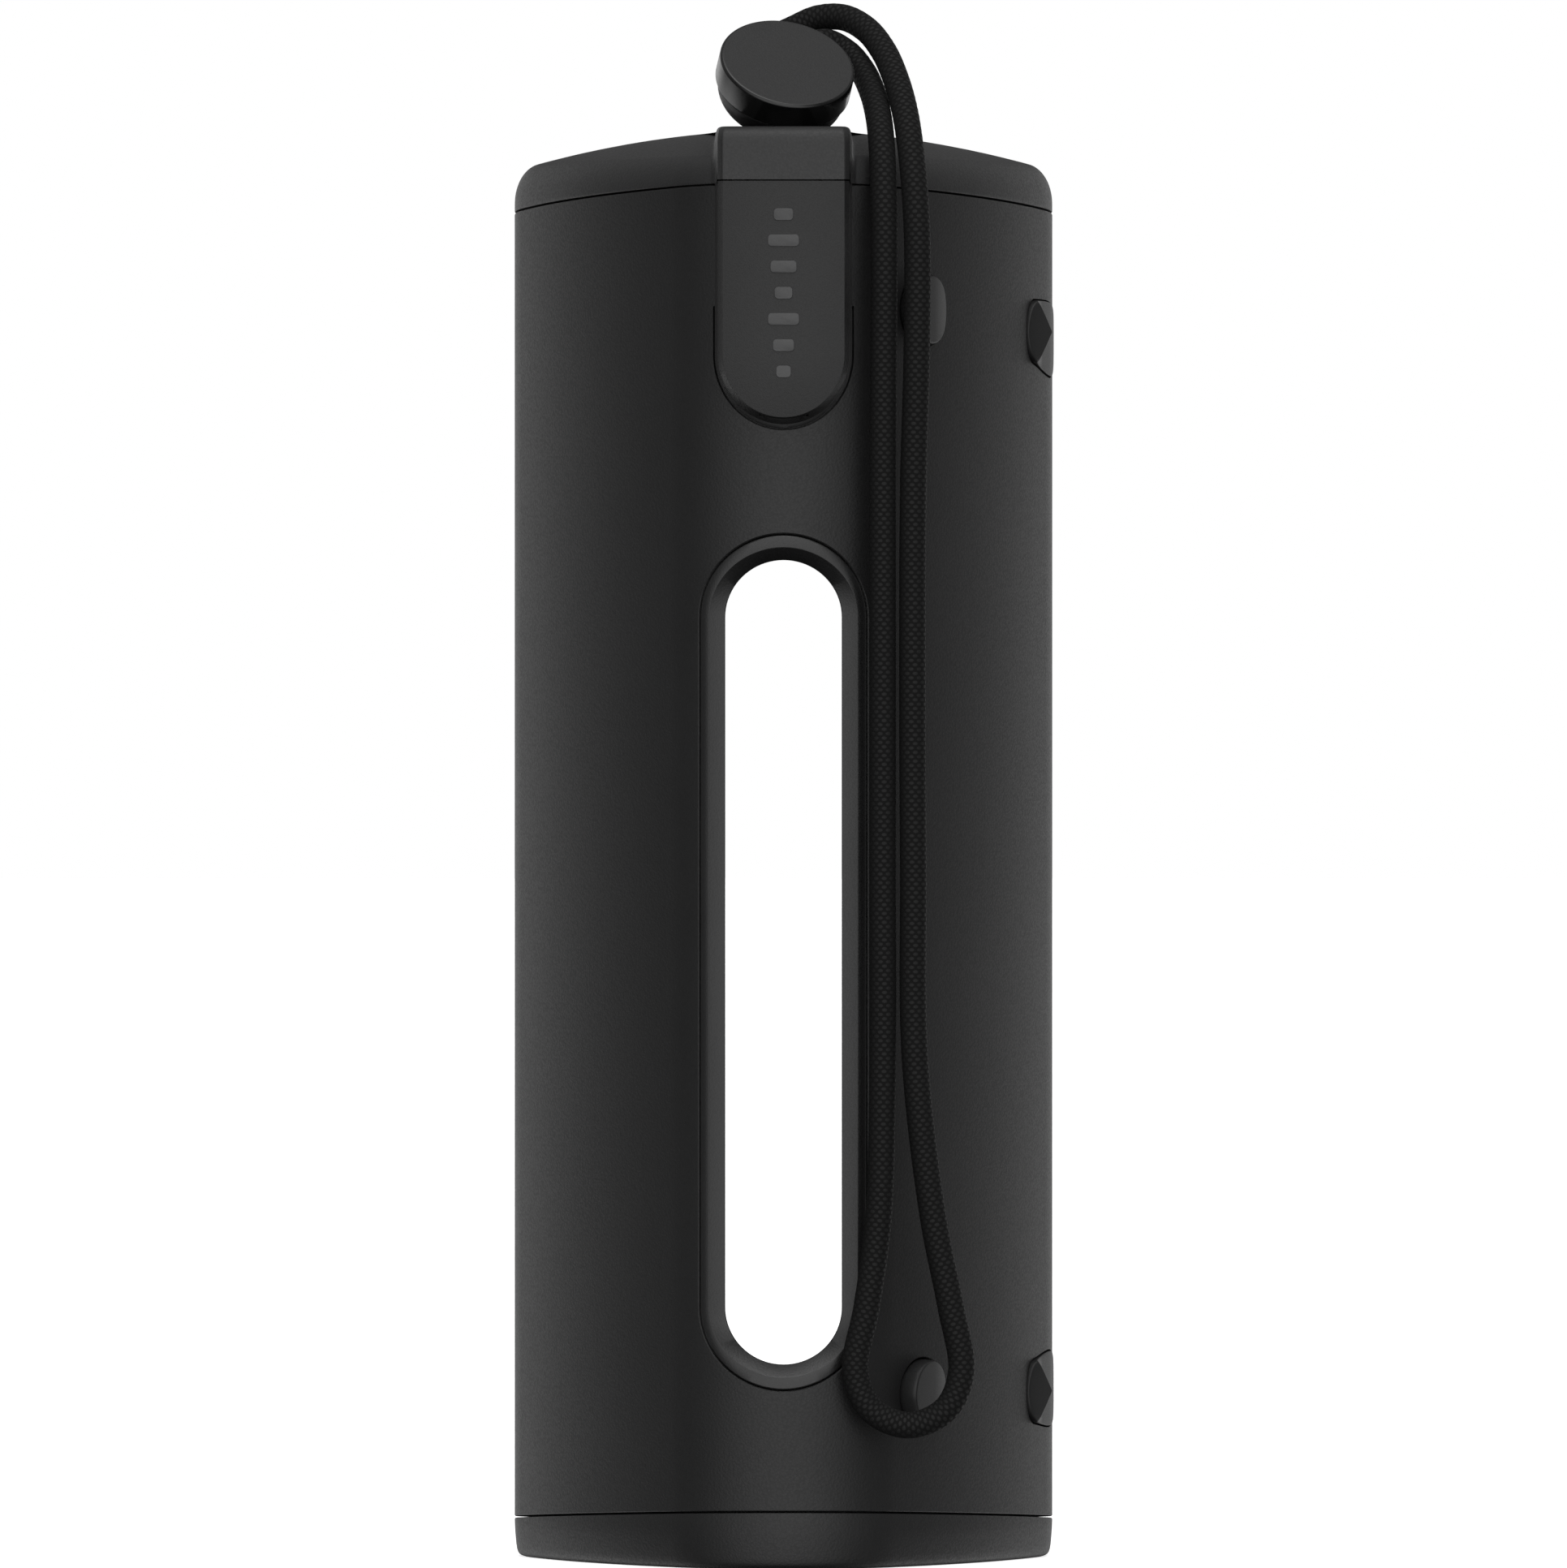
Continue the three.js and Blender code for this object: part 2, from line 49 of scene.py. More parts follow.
# ---- dimensions of the case, in metres ----
CORNER_OUT = 17 * MM  # corner arc centres, from the axis
CORNER_R = 18.4 * MM
CORNER_HALF = math.radians(47.87)
SIDE_BACK = 60 * MM  # side arc centres, behind the axis
SIDE_HALF = math.pi / 3 - CORNER_HALF
SIDE_R = CORNER_R + math.hypot(SIDE_BACK + CORNER_OUT / 2, CORNER_OUT * math.sin(math.pi / 3))
WALL = 1.8 * MM
LINER_OUT = 2.1 * MM
LINER_IN = 2.9 * MM

SEAM_Y = 8.5 * MM  # the two half shells meet here
BOTTOM_SEAM = (4.8 * MM, 0.05)  # height at SEAM_Y, and rise towards the apex
TOP_SEAM = (165.4 * MM, 0.0547)
SEAM_HALF = 0.1 * MM  # half the open width of a seam
EDGE = 0.15 * MM  # rounding of a seam's edges
PANEL_CORNER = 2 * MM  # corners of the big shell, where its seams meet

WALL_TOP = 166.6 * MM  # the upright wall turns into the lid's rounded edge
EDGE_RISE = 4.9 * MM
EDGE_IN = 3.5 * MM
EDGE_END = math.radians(80)  # where the rounded edge meets the crown
CROWN_Z = WALL_TOP + EDGE_RISE * math.sin(EDGE_END)
CROWN_IN = EDGE_IN * (1 - math.cos(EDGE_END))
LID_TOP = 175.4 * MM

BLOCK_CENTRE = -13.2 * MM  # the lid's rings are drawn round this point up to the block's top
BLOCK_FRONT = -37.35 * MM
BLOCK_BACK = -13.0 * MM
BLOCK_TOP = 174.7 * MM
BLOCK_LEAN = 0.35 * MM
BLOCK_ROUND = 1.9 * MM
BLOCK_BOTTOM = 168.22 * MM
FACE_HALF = 7.42 * MM  # half width of the block and the tongue at their front
FLANK_HALF = 8.0 * MM  # half width behind their chamfers
CHAMFER_DEEP = 0.8 * MM
PIN_Y, PIN_Z = -34.9 * MM, 167.9 * MM
PIN_HOLE = 0.65 * MM
KNUCKLE_R = 1.3 * MM  # of the ears and the tongue's knuckle, round the pin
EAR_IN, EAR_OUT = 4.6 * MM, 6.2 * MM
SCOOP_R, SCOOP_END_R, SCOOP_HALF = 2.42 * MM, 1.62 * MM, 8.08 * MM

TONGUE_FRONT = -37.2 * MM
TONGUE_TOP = 168.05 * MM
TONGUE_ROUND_Z = 147.1 * MM  # centre of the half-round end
SLIT_HALF, SLIT_DROP, SLIT_TOP = 8.42 * MM, 9.1 * MM, 153 * MM
SLIT_OPEN, SLIT_DEEP = 0.11 * MM, 0.9 * MM  # half its width, and its depth

SLOT_Z, SLOT_STRAIGHT = 73.5 * MM, 41.8 * MM
SLOT_CUT, SLOT_RING, SLOT_LIP, SLOT_OPEN = 10.22 * MM, 10.04 * MM, 9.0 * MM, 7.06 * MM
END_LESS, LIP_LESS = 0.14 * MM, 0.57 * MM  # how much less far the ends reach than the sides
WINDOW_HALF, WINDOW_LOW, WINDOW_HIGH, WINDOW_R = 22 * MM, 16 * MM, 152 * MM, 8 * MM

# A foot's radius, its flat face's distance from the axis, its depth in the wall, and the room round it.
FOOT_R, FOOT_PLANE, FOOT_SUNK, FOOT_ROOM = 4.3 * MM, 28.85 * MM, 1.7 * MM, 0.2 * MM
# An outer foot's widest place before its axis, its round end, half its width, and its run from there.
OUTER_BACK, OUTER_ROUND, OUTER_HALF, OUTER_RUN = 1.9 * MM, 2.4 * MM, 3.85 * MM, 8.9 * MM
RIDGE, RIDGE_AT, RIM = 1.75 * MM, -0.1 * MM, 0.3 * MM  # heights of an outer foot, and its ridge's place
FOOT_SIDE = np.array([math.cos(math.pi / 6), -math.sin(math.pi / 6), 0])
FOOT_ALONG = np.array([math.sin(math.pi / 6), math.cos(math.pi / 6), 0])
FOOT_FLARE = {"inner": (0, 0), "upper": (0.0, 0.3), "lower": (0.2, 0.13)}  # how outer feet widen
FEET = {
    "foot_upper_inner": (-13.5 * MM, 152.7 * MM, "inner"),
    "foot_upper_outer": (16.1 * MM, 150.6 * MM, "upper"),
    "foot_lower_inner": (-13.5 * MM, 20.9 * MM, "inner"),
    "foot_lower_outer": (16.1 * MM, 20.6 * MM, "lower"),
}

PUCK_AT = np.array([0.5, -26.8, 182.7]) * MM
PUCK_FACING = np.array([0.18, -0.64, 0.747]) / np.linalg.norm([0.18, -0.64, 0.747])
PUCK_R, PUCK_CAP, PUCK_DEEP = 8.3 * MM, 3.5 * MM, 8.1 * MM
PUCK_RIM, PUCK_EDGE = 0.42 * MM, 0.15 * MM  # rounding of its face's edge and its lower edge
BOWL_BASE, BOWL_LESS, BOWL_GAP = 3.2 * MM, 0.45 * MM, 0.22 * MM  # flat base, and steps from the cap
KNOT_Y, KNOT_Z, KNOT_ROOM = -23.15 * MM, 178.2 * MM, 1.95 * MM
BAR_Y, BAR_Z = -28 * MM, 173.5 * MM
# The tether's radius, its turn round the bar, half the room between its ends, and cells around it.
TETHER_R, TETHER_TURN, TETHER_APART, TETHER_CELLS = 0.75 * MM, 1.8 * MM, 0.9 * MM, 5
SWING = math.radians(40)

CORD_R, CORD_ROOM = 1.62 * MM, 1.68 * MM  # the cord's radius, and that of its channels in the puck
CELL_PITCH = 1.06 * MM  # along the braid
CELLS_AROUND = 10
CORD_ROUTE = [
    (-.0034, -.0213, .1823), (-.0047, -.0188, .1839), (-.0050, -.0163, .1849), (-.0039, -.0143, .1853),
    (-.0017, -.0130, .1860), (.0011, -.0125, .1873), (.0041, -.0127, .1886), (.0072, -.0140, .1887),
    (.0100, -.0166, .1872), (.0121, -.0199, .1845), (.0136, -.0237, .1810), (.0147, -.0277, .1769),
    (.0154, -.0313, .1722), (.0159, -.0339, .1668), (.0162, -.0351, .1600), (.0161, -.0354, .1460),
    (.0157, -.0354, .1310), (.0156, -.0354, .1080), (.0157, -.0354, .0850), (.0159, -.0354, .0620),
    (.0181, -.0354, .0427), (.0202, -.0354, .0320), (.0215, -.0354, .0239), (.0196, -.0354, .0194),
    (.0151, -.0354, .0175), (.0106, -.0354, .0194), (.0087, -.0354, .0239), (.0101, -.0354, .0320),
    (.0115, -.0354, .0427), (.0120, -.0354, .0620), (.0120, -.0354, .0850), (.0120, -.0354, .1080),
    (.0120, -.0354, .1310), (.0121, -.0353, .1460), (.0122, -.0350, .1600), (.0121, -.0337, .1673),
    (.0119, -.0309, .1726), (.0115, -.0268, .1764), (.0108, -.0225, .1793), (.0096, -.0189, .1820),
    (.0077, -.0166, .1843), (.0052, -.0165, .1856), (.0028, -.0184, .1847), (.0009, -.0213, .1825),
]

# Blocks that are cut away or added, each from one corner to the other.
HINGE_ROOM = (-.0069, -.05, .1649), (.0069, -.03, .3)
CATCH_SEAT = (-.0028, -.05, .1399), (.0028, -.0343, .1427)  # in the sleeve
NOSE_ROOM = (-.003, -.0364, .1396), (.003, -.02, .1428)  # in the tongue, for the catch
BOSS = (-.006, -.0374, .1698), (.006, -.0175, .2)  # stays solid under the block
TONGUE_ROOM = (-.00806, -.05, .16), (.00806, -.0338, BLOCK_BOTTOM)
BAR_POCKET = (-.0045, -.0344, .1706), (.0045, -.019, .2)
SILL = (-.0028, -.0188, .1736), (.0028, -.0172, .17575)  # hides the view past the tether
PAD_NOTCH = (-.0063, -.1, 0), (.0063, -.0172, .3)  # lets the boss through the lid's pad

EYE_BACK, EYE_Z = 2.457, 95.1 * MM  # the camera's distance from the seam plane, and its height
FRAME_HEIGHT = 0.1932  # what the picture spans at the seam plane
BASE_LIGHT = 0.155  # the surroundings' light from every side


# ---- curves and fields ----
def quarter(steps):
    return np.linspace(0, math.pi / 2, steps)


def outline(inset, corner_steps=44, side_steps=14):
    """The case's cross-section moved in by inset, as points in X and Y."""
    points = []

    def arc(centre, r, start, sweep, steps):
        for i in range(steps):
            a = start + sweep * i / steps
            points.append((centre[0] + r * math.cos(a), centre[1] + r * math.sin(a)))

    for k in range(3):
        corner = -math.pi / 2 + k * TURN / 3
        side = corner + math.pi / 3
        corner_at = (CORNER_OUT * math.cos(corner), CORNER_OUT * math.sin(corner))
        side_at = (-SIDE_BACK * math.cos(side), -SIDE_BACK * math.sin(side))
        arc(corner_at, CORNER_R - inset, corner - CORNER_HALF, 2 * CORNER_HALF, corner_steps)
        arc(side_at, SIDE_R - inset, side - SIDE_HALF, 2 * SIDE_HALF, side_steps)
    return np.array(points)


def wall_field(x, y):
    """Distance from the outer wall, negative inside, and the wall's outward direction there."""
    x, y = np.broadcast_arrays(np.asarray(x, float), np.asarray(y, float))
    far = np.full(x.shape, -1e9)
    nx, ny = np.zeros(x.shape), np.zeros(x.shape)
    for k in range(3):
        side = -math.pi / 6 + k * TURN / 3
        dx, dy = x + SIDE_BACK * math.cos(side), y + SIDE_BACK * math.sin(side)
        r = np.hypot(dx, dy)
        closer = r - SIDE_R > far
        far = np.where(closer, r - SIDE_R, far)
        nx, ny = np.where(closer, dx / r, nx), np.where(closer, dy / r, ny)
    for k in range(3):
        corner = -math.pi / 2 + k * TURN / 3
        dx, dy = x - CORNER_OUT * math.cos(corner), y - CORNER_OUT * math.sin(corner)
        r = np.maximum(np.hypot(dx, dy), 1e-9)
        ahead = (dx * math.cos(corner) + dy * math.sin(corner)) / r
        inside = ahead > math.cos(CORNER_HALF)
        far = np.where(inside, r - CORNER_R, far)
        nx, ny = np.where(inside, dx / r, nx), np.where(inside, dy / r, ny)
    return far, nx, ny


def apex_y(x):
    return -CORNER_OUT - np.sqrt(CORNER_R**2 - np.asarray(x) ** 2)


def far_side_y(x):
    return -SIDE_BACK + np.sqrt(SIDE_R**2 - np.asarray(x) ** 2)


def seam_z(seam, y):
    return seam[0] + seam[1] * (SEAM_Y - y)


def stadium(half, less=END_LESS, steps=40):
    """Points in X and Z round the slot. Its round ends reach a little less far than half."""
    points = []
    for centre, start in ((SLOT_Z + SLOT_STRAIGHT, 0), (SLOT_Z - SLOT_STRAIGHT, math.pi)):
        for i in range(steps + 1):
            a = start + math.pi * i / steps
            points.append((half * math.cos(a), centre + (half - less) * math.sin(a)))
    return np.array(points)


def window(grow, steps=12):
    half, low, high = WINDOW_HALF + grow, WINDOW_LOW - grow, WINDOW_HIGH + grow
    points = []
    for k, (sx, z) in enumerate(((1, high), (-1, high), (-1, low), (1, low))):
        cx = sx * (half - WINDOW_R)
        cz = z - WINDOW_R if z > SLOT_Z else z + WINDOW_R
        for i in range(steps + 1):
            a = k * math.pi / 2 + math.pi / 2 * i / steps
            points.append((cx + WINDOW_R * math.cos(a), cz + WINDOW_R * math.sin(a)))
    return np.array(points)


def smooth_path(points, per_segment):
    """A centripetal Catmull-Rom curve through the points."""
    p = np.array(points, float)
    p = np.vstack([2 * p[0] - p[1], p, 2 * p[-1] - p[-2]])
    out = []
    for i in range(1, len(p) - 2):
        a, b, c, d = p[i - 1 : i + 3]
        t0 = 0.0
        t1 = t0 + math.sqrt(np.linalg.norm(b - a))
        t2 = t1 + math.sqrt(np.linalg.norm(c - b))
        t3 = t2 + math.sqrt(np.linalg.norm(d - c))
        for t in np.linspace(t1, t2, per_segment, endpoint=False):
            ab = a + (b - a) * (t - t0) / (t1 - t0)
            bc = b + (c - b) * (t - t1) / (t2 - t1)
            cd = c + (d - c) * (t - t2) / (t3 - t2)
            abc = ab + (bc - ab) * (t - t0) / (t2 - t0)
            bcd = bc + (cd - bc) * (t - t1) / (t3 - t1)
            out.append(abc + (bcd - abc) * (t - t1) / (t2 - t1))
    out.append(p[-2])
    return np.array(out)


def even_path(path, count):
    """The same polyline with count points at equal steps."""
    steps = np.linalg.norm(np.diff(path, axis=0), axis=1)
    at = np.concatenate([[0], np.cumsum(steps)])
    wanted = np.linspace(0, at[-1], count)
    return np.stack([np.interp(wanted, at, path[:, k]) for k in range(3)], axis=1), at[-1]


# ---- meshes ----
def put(name, data):
    obj = bpy.data.objects.new(name, data)
    bpy.context.scene.collection.objects.link(obj)
    return obj


def make(name, points, faces):
    mesh = bpy.data.meshes.new(name)
    mesh.from_pydata([tuple(p) for p in points], [], faces)
    bm = bmesh.new()
    bm.from_mesh(mesh)
    bmesh.ops.remove_doubles(bm, verts=bm.verts, dist=2e-7)
    bmesh.ops.recalc_face_normals(bm, faces=bm.faces)
    bm.to_mesh(mesh)
    bm.free()
    return put(name, mesh)


def skin(count, n, ends="flat", first=0):
    """The faces over count rings of n points. The rings' points start at first."""
    faces = []
    for r in range(count if ends == "loop" else count - 1):
        low, high = first + r * n, first + ((r + 1) % count) * n
        for i in range(n):
            j = (i + 1) % n
            faces.append((low + i, low + j, high + j, high + i))
    if ends == "flat":
        faces.append(tuple(range(first, first + n))[::-1])
        faces.append(tuple(range(first + (count - 1) * n, first + count * n)))
    return faces


def loft(name, rings, ends="flat"):
    """Skins rings of equal count. ends: flat closes each end with a face, loop joins last to first."""
    return make(name, np.concatenate(rings), skin(len(rings), len(rings[0]), ends))


def with_z(points, z):
    return np.column_stack([points, np.broadcast_to(z, len(points))])


def level_ring(inset, z, scale=1):
    """The case's outline moved in by inset, at one height."""
    return with_z(outline(inset) * scale, z)


def seen_from_front(points, y):
    """Points in X and Z, given a Y."""
    return np.column_stack([points[:, 0], np.broadcast_to(y, len(points)), points[:, 1]])


def bore(*ends):
    """A cutter through the wall. Each end is an outline in X and Z, and its Y."""
    return loft("cutter", [seen_from_front(points, y) for points, y in ends])


def block(name, low, high):
    (x0, y0, z0), (x1, y1, z1) = low, high
    base = np.array([(x0, y0), (x1, y0), (x1, y1), (x0, y1)])
    return loft(name, [with_z(base, z0), with_z(base, z1)])


def axis_frame(axis):
    axis = np.array(axis, float) / np.linalg.norm(axis)
    helper = np.array([0.0, 0.0, 1.0]) if abs(axis[2]) < 0.9 else np.array([1.0, 0.0, 0.0])
    u = np.cross(helper, axis)
    u /= np.linalg.norm(u)
    return u, np.cross(axis, u), axis


def turned(name, profile, at, axis, sides=96):
    """A lathed solid. Profile points are (radius, height along the axis). Its ends are closed."""
    u, v, w = axis_frame(axis)
    a = np.arange(sides) * TURN / sides
    rings = []
    for r, h in profile:
        r = max(r, 1e-6)
        rings.append(np.array(at) + np.outer(np.cos(a) * r, u) + np.outer(np.sin(a) * r, v) + w * h)
    return loft(name, rings)


def rod(name, r, x0, x1, y, z, chamfer=0.0):
    profile = [(r - chamfer, 0), (r, chamfer), (r, x1 - x0 - chamfer), (r - chamfer, x1 - x0)]
    return turned(name, profile, (x0, y, z), (1, 0, 0), 48)


def split_faces(obj):
    """Turns every face into triangles, which the Boolean solver needs to be exact."""
    bm = bmesh.new()
    bm.from_mesh(obj.data)
    bmesh.ops.triangulate(bm, faces=bm.faces)
    bm.to_mesh(obj.data)
    bm.free()


def swap_mesh(obj, graph):
    """Puts the result of the object's modifiers in its place."""
    mesh, old = bpy.data.meshes.new_from_object(obj.evaluated_get(graph)), obj.data
    obj.modifiers.clear()
    obj.data = mesh
    bpy.data.meshes.remove(old)
    return obj


def combine(obj, tools, operation="DIFFERENCE"):
    """Cuts all the tools out of the object at once, or joins them to it, and uses them up."""
    group = bpy.data.collections.new("tools")
    for piece in (obj, *tools):
        split_faces(piece)
    for tool in tools:
        group.objects.link(tool)
    change = obj.modifiers.new(operation, "BOOLEAN")
    change.operation, change.solver = operation, "EXACT"
    change.operand_type, change.collection = "COLLECTION", group
    bpy.context.view_layer.update()
    swap_mesh(obj, bpy.context.evaluated_depsgraph_get())
    for tool in tools:
        spent = tool.data
        bpy.data.objects.remove(tool)
        bpy.data.meshes.remove(spent)
    bpy.data.collections.remove(group)
    return obj


def rounded(obj, width, segments=3, angle=30):
    """Rounds every edge sharper than the angle."""
    change = obj.modifiers.new("round", "BEVEL")
    change.width, change.segments, change.limit_method = width, segments, "ANGLE"
    change.angle_limit = math.radians(angle)
    return swap_mesh(obj, bpy.context.evaluated_depsgraph_get())


def shade(obj, angle=35):
    obj.data.polygons.foreach_set("use_smooth", [True] * len(obj.data.polygons))
    obj.data.set_sharp_from_angle(angle=math.radians(angle))
    return obj


def vectors(items, key):
    """One vector for each of a mesh's items, such as its corners."""
    values = np.zeros(len(items) * 3, np.float32)
    items.foreach_get(key, values)
    return values.reshape(-1, 3)


def counts(items, key):
    """One whole number for each of a mesh's items."""
    values = np.zeros(len(items), np.int32)
    items.foreach_get(key, values)
    return values


def shade_as_wall(obj):
    """Smooth shading in which faces that lie along the wall take the wall's exact direction."""
    shade(obj)
    mesh = obj.data
    normals = vectors(mesh.corner_normals, "vector")
    at = vectors(mesh.vertices, "co")[counts(mesh.loops, "vertex_index")]
    of_face = np.repeat(vectors(mesh.polygons, "normal"), counts(mesh.polygons, "loop_total"), axis=0)
    _, nx, ny = wall_field(at[:, 0], at[:, 1])
    along = of_face[:, 0] * nx + of_face[:, 1] * ny
    for sign in (1, -1):
        on_wall = sign * along > math.cos(math.radians(6))
        normals[on_wall] = sign * np.column_stack([nx, ny, np.zeros(len(nx))])[on_wall]
    mesh.normals_split_custom_set([tuple(n) for n in normals])
    return obj


def tube_rings(path, r, sides):
    """Rings round a path, without twist. r is a radius or one radius for each ring and side."""
    tangent = np.gradient(path, axis=0)
    tangent /= np.linalg.norm(tangent, axis=1)[:, None]
    u, _, _ = axis_frame(tangent[0])
    a = np.arange(sides) * TURN / sides
    radius = np.broadcast_to(r, (len(path), sides))
    rings = []
    for i, t in enumerate(tangent):
        u = u - t * (u @ t)
        u /= np.linalg.norm(u)
        v = np.cross(t, u)
        rings.append(path[i] + np.outer(np.cos(a) * radius[i], u) + np.outer(np.sin(a) * radius[i], v))
    return rings


def tube(name, path, r, sides=24):
    return loft(name, tube_rings(path, r, sides))


# ---- materials ----
class Nodes:
    """The node tree of a material or a world, with short calls to add nodes and links."""

    def __init__(self, owner):
        owner.use_nodes = True
        self.owner, self.tree = owner, owner.node_tree
        self.shader = self.tree.nodes.get("Principled BSDF")

    def add(self, kind, **settings):
        node = self.tree.nodes.new(kind)
        for key, value in settings.items():
            if key in node.inputs:
                node.inputs[key].default_value = value
            else:
                setattr(node, key, value)
        return node

    def join(self, source, target):
        self.tree.links.new(source, target)

    def math(self, operation, a, b=None):
        node = self.add("ShaderNodeMath", operation=operation)
        for i, value in enumerate((a, b)):
            if value is None:
                continue
            if isinstance(value, (int, float)):
                node.inputs[i].default_value = value
            else:
                self.join(value, node.inputs[i])
        return node.outputs[0]

    def vector(self, operation, source, *values):
        """Vector maths on a source. The values are constants or sockets."""
        node = self.add("ShaderNodeVectorMath", operation=operation)
        self.join(source, node.inputs[0])
        for i, value in enumerate(values):
            if isinstance(value, tuple):
                node.inputs[i + 1].default_value = value
            else:
                self.join(value, node.inputs[i + 1])
        return node.outputs["Value" if operation in ("LENGTH", "DOT_PRODUCT") else 0]

    def noise(self, place, **settings):
        node = self.add("ShaderNodeTexNoise", **settings)
        self.join(place, node.inputs["Vector"])
        return node.outputs

    def bump(self, height, distance, invert=False):
        node = self.add("ShaderNodeBump", Strength=1.0, Distance=distance, invert=invert)
        self.join(height, node.inputs["Height"])
        self.join(node.outputs[0], self.shader.inputs["Normal"])

    def ramp(self, factor, low, high, start=0.0, end=1.0):
        """Runs from low to high as factor goes from start to end. Both are greys or colours."""
        node = self.add("ShaderNodeValToRGB")
        for element, value, place in zip(node.color_ramp.elements, (low, high), (start, end)):
            element.position = place
            element.color = (*((value,) * 3 if isinstance(value, float) else value), 1)
        self.join(factor, node.inputs[0])
        return node.outputs[0]


def grained(name, colour, roughness, pebble, depth, specular=0.5, mottle=0.12):
    """Moulded plastic or rubber with a pebbled skin. pebble is the size of its grain in metres."""
    m = Nodes(bpy.data.materials.new(name))
    place = m.add("ShaderNodeTexCoord").outputs["Object"]
    warp = m.noise(place, Scale=0.6 / pebble, Detail=2.0)
    bent = m.vector("MULTIPLY_ADD", warp["Color"], (pebble * 0.9,) * 3, place)
    cells = m.add("ShaderNodeTexVoronoi", feature="SMOOTH_F1", Scale=1 / pebble, Smoothness=0.6)
    m.join(bent, cells.inputs["Vector"])
    fine = m.noise(place, Scale=2.6 / pebble, Detail=3.0, Roughness=0.6)
    height = m.math("ADD", cells.outputs["Distance"], m.math("MULTIPLY", fine["Fac"], 0.45))
    m.bump(height, depth, invert=True)
    broad = m.noise(place, Scale=45.0, Detail=4.0, Roughness=0.65)
    dark = tuple(c * (1 - mottle) for c in colour)
    light = tuple(c * (1 + mottle) for c in colour)
    m.join(m.ramp(broad["Fac"], dark, light, 0.35, 0.65), m.shader.inputs["Base Color"])
    rough = m.ramp(height, max(roughness - 0.06, 0.0), min(roughness + 0.08, 1.0), 0.2, 0.9)
    m.join(rough, m.shader.inputs["Roughness"])
    m.shader.inputs["Specular IOR Level"].default_value = specular
    return m.owner


def braided(name, around, pitch_units):
    """A braid of staggered oval cells, so many round the cord and so many along it, with painted shade in
    the gaps between the cells.
    """
    m = Nodes(bpy.data.materials.new(name))
    # Painted shade: the colour between the cells is darker than the cells, and stands in for the shade in
    # the braid's gaps.
    gap_shade, cell = 0.0048, 0.0105
    uv = m.add("ShaderNodeUVMap", uv_map="UVMap").outputs[0]
    ovals = []
    for shift in (0.0, 0.5):
        cell_units = m.vector("MULTIPLY_ADD", uv, (around, pitch_units, 0), (shift, shift, 0))
        in_cell = m.vector("SUBTRACT", m.vector("FRACTION", cell_units), (0.5, 0.5, 0))
        ovals.append(m.vector("LENGTH", m.vector("MULTIPLY", in_cell, (1 / 0.36, 1 / 0.21, 0))))
    nearest = m.math("MINIMUM", *ovals)
    m.join(m.ramp(nearest, cell, gap_shade, 0.75, 1.15), m.shader.inputs["Base Color"])
    m.join(m.ramp(nearest, 0.62, 0.9, 0.7, 1.2), m.shader.inputs["Roughness"])
    fibres = m.noise(m.add("ShaderNodeTexCoord").outputs["Object"], Scale=5200.0, Detail=3.0)
    m.bump(fibres["Fac"], 0.02 * MM)
    m.shader.inputs["Specular IOR Level"].default_value = 0.22
    return m.owner


def brushed(name, colour, roughness):
    m = Nodes(bpy.data.materials.new(name))
    stretched = m.add("ShaderNodeMapping")
    stretched.inputs["Scale"].default_value = (9000, 600, 600)
    m.join(m.add("ShaderNodeTexCoord").outputs["Object"], stretched.inputs["Vector"])
    lines = m.noise(stretched.outputs[0], Scale=1.0, Detail=4.0)["Fac"]
    low = tuple(c * 0.85 for c in colour)
    m.join(m.ramp(lines, low, colour, 0.3, 0.7), m.shader.inputs["Base Color"])
    m.join(m.ramp(lines, roughness - 0.08, roughness + 0.1), m.shader.inputs["Roughness"])
    m.shader.inputs["Metallic"].default_value = 1.0
    return m.owner


SHELL = grained("shell_plastic", (0.0072, 0.0072, 0.0074), 0.49, 0.30 * MM, 0.024 * MM)
LID = grained("lid_plastic", (0.0145, 0.0145, 0.0148), 0.47, 0.28 * MM, 0.020 * MM)
TRIM = grained("trim_plastic", (0.0095, 0.0095, 0.0097), 0.52, 0.17 * MM, 0.015 * MM)
RING = grained("ring_plastic", (0.0120, 0.0120, 0.0122), 0.32, 0.22 * MM, 0.010 * MM, 0.6)
PUCK = grained("puck_plastic", (0.0075, 0.0075, 0.0077), 0.44, 0.20 * MM, 0.012 * MM)
POLISHED = grained("polished_plastic", (0.0060, 0.0060, 0.0061), 0.16, 0.50 * MM, 0.0008 * MM)
MARK = grained("mark_plastic", (0.0560, 0.0560, 0.0568), 0.44, 0.18 * MM, 0.006 * MM)
RUBBER = grained("foot_rubber", (0.0095, 0.0095, 0.0098), 0.46, 0.12 * MM, 0.005 * MM)
LINING = grained("lining_cloth", (0.030, 0.0302, 0.031), 0.95, 0.30 * MM, 0.05 * MM, 0.15, 0.25)
FOAM = grained("pad_foam", (0.022, 0.0225, 0.023), 0.97, 0.60 * MM, 0.12 * MM, 0.15, 0.25)
STEEL = brushed("pin_steel", (0.55, 0.55, 0.56), 0.32)


def dress(obj, material, slot, body, *nodes):
    """Gives a finished piece its material and its body, and hides the CAD nodes that it stands for."""
    obj.data.materials.clear()
    obj.data.materials.append(material)
    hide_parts(*nodes)
    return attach(obj, body)


# ---- camera and cord ----
def camera():
    data = bpy.data.cameras.new("camera")
    data.sensor_width = 36
    data.lens = data.sensor_width * EYE_BACK / FRAME_HEIGHT
    data.clip_start, data.clip_end = 0.1, 20
    eye = put("camera", data)
    eye.location = (0, SEAM_Y - EYE_BACK, EYE_Z)
    eye.rotation_euler = (math.pi / 2, 0, 0)
    bpy.context.scene.camera = eye


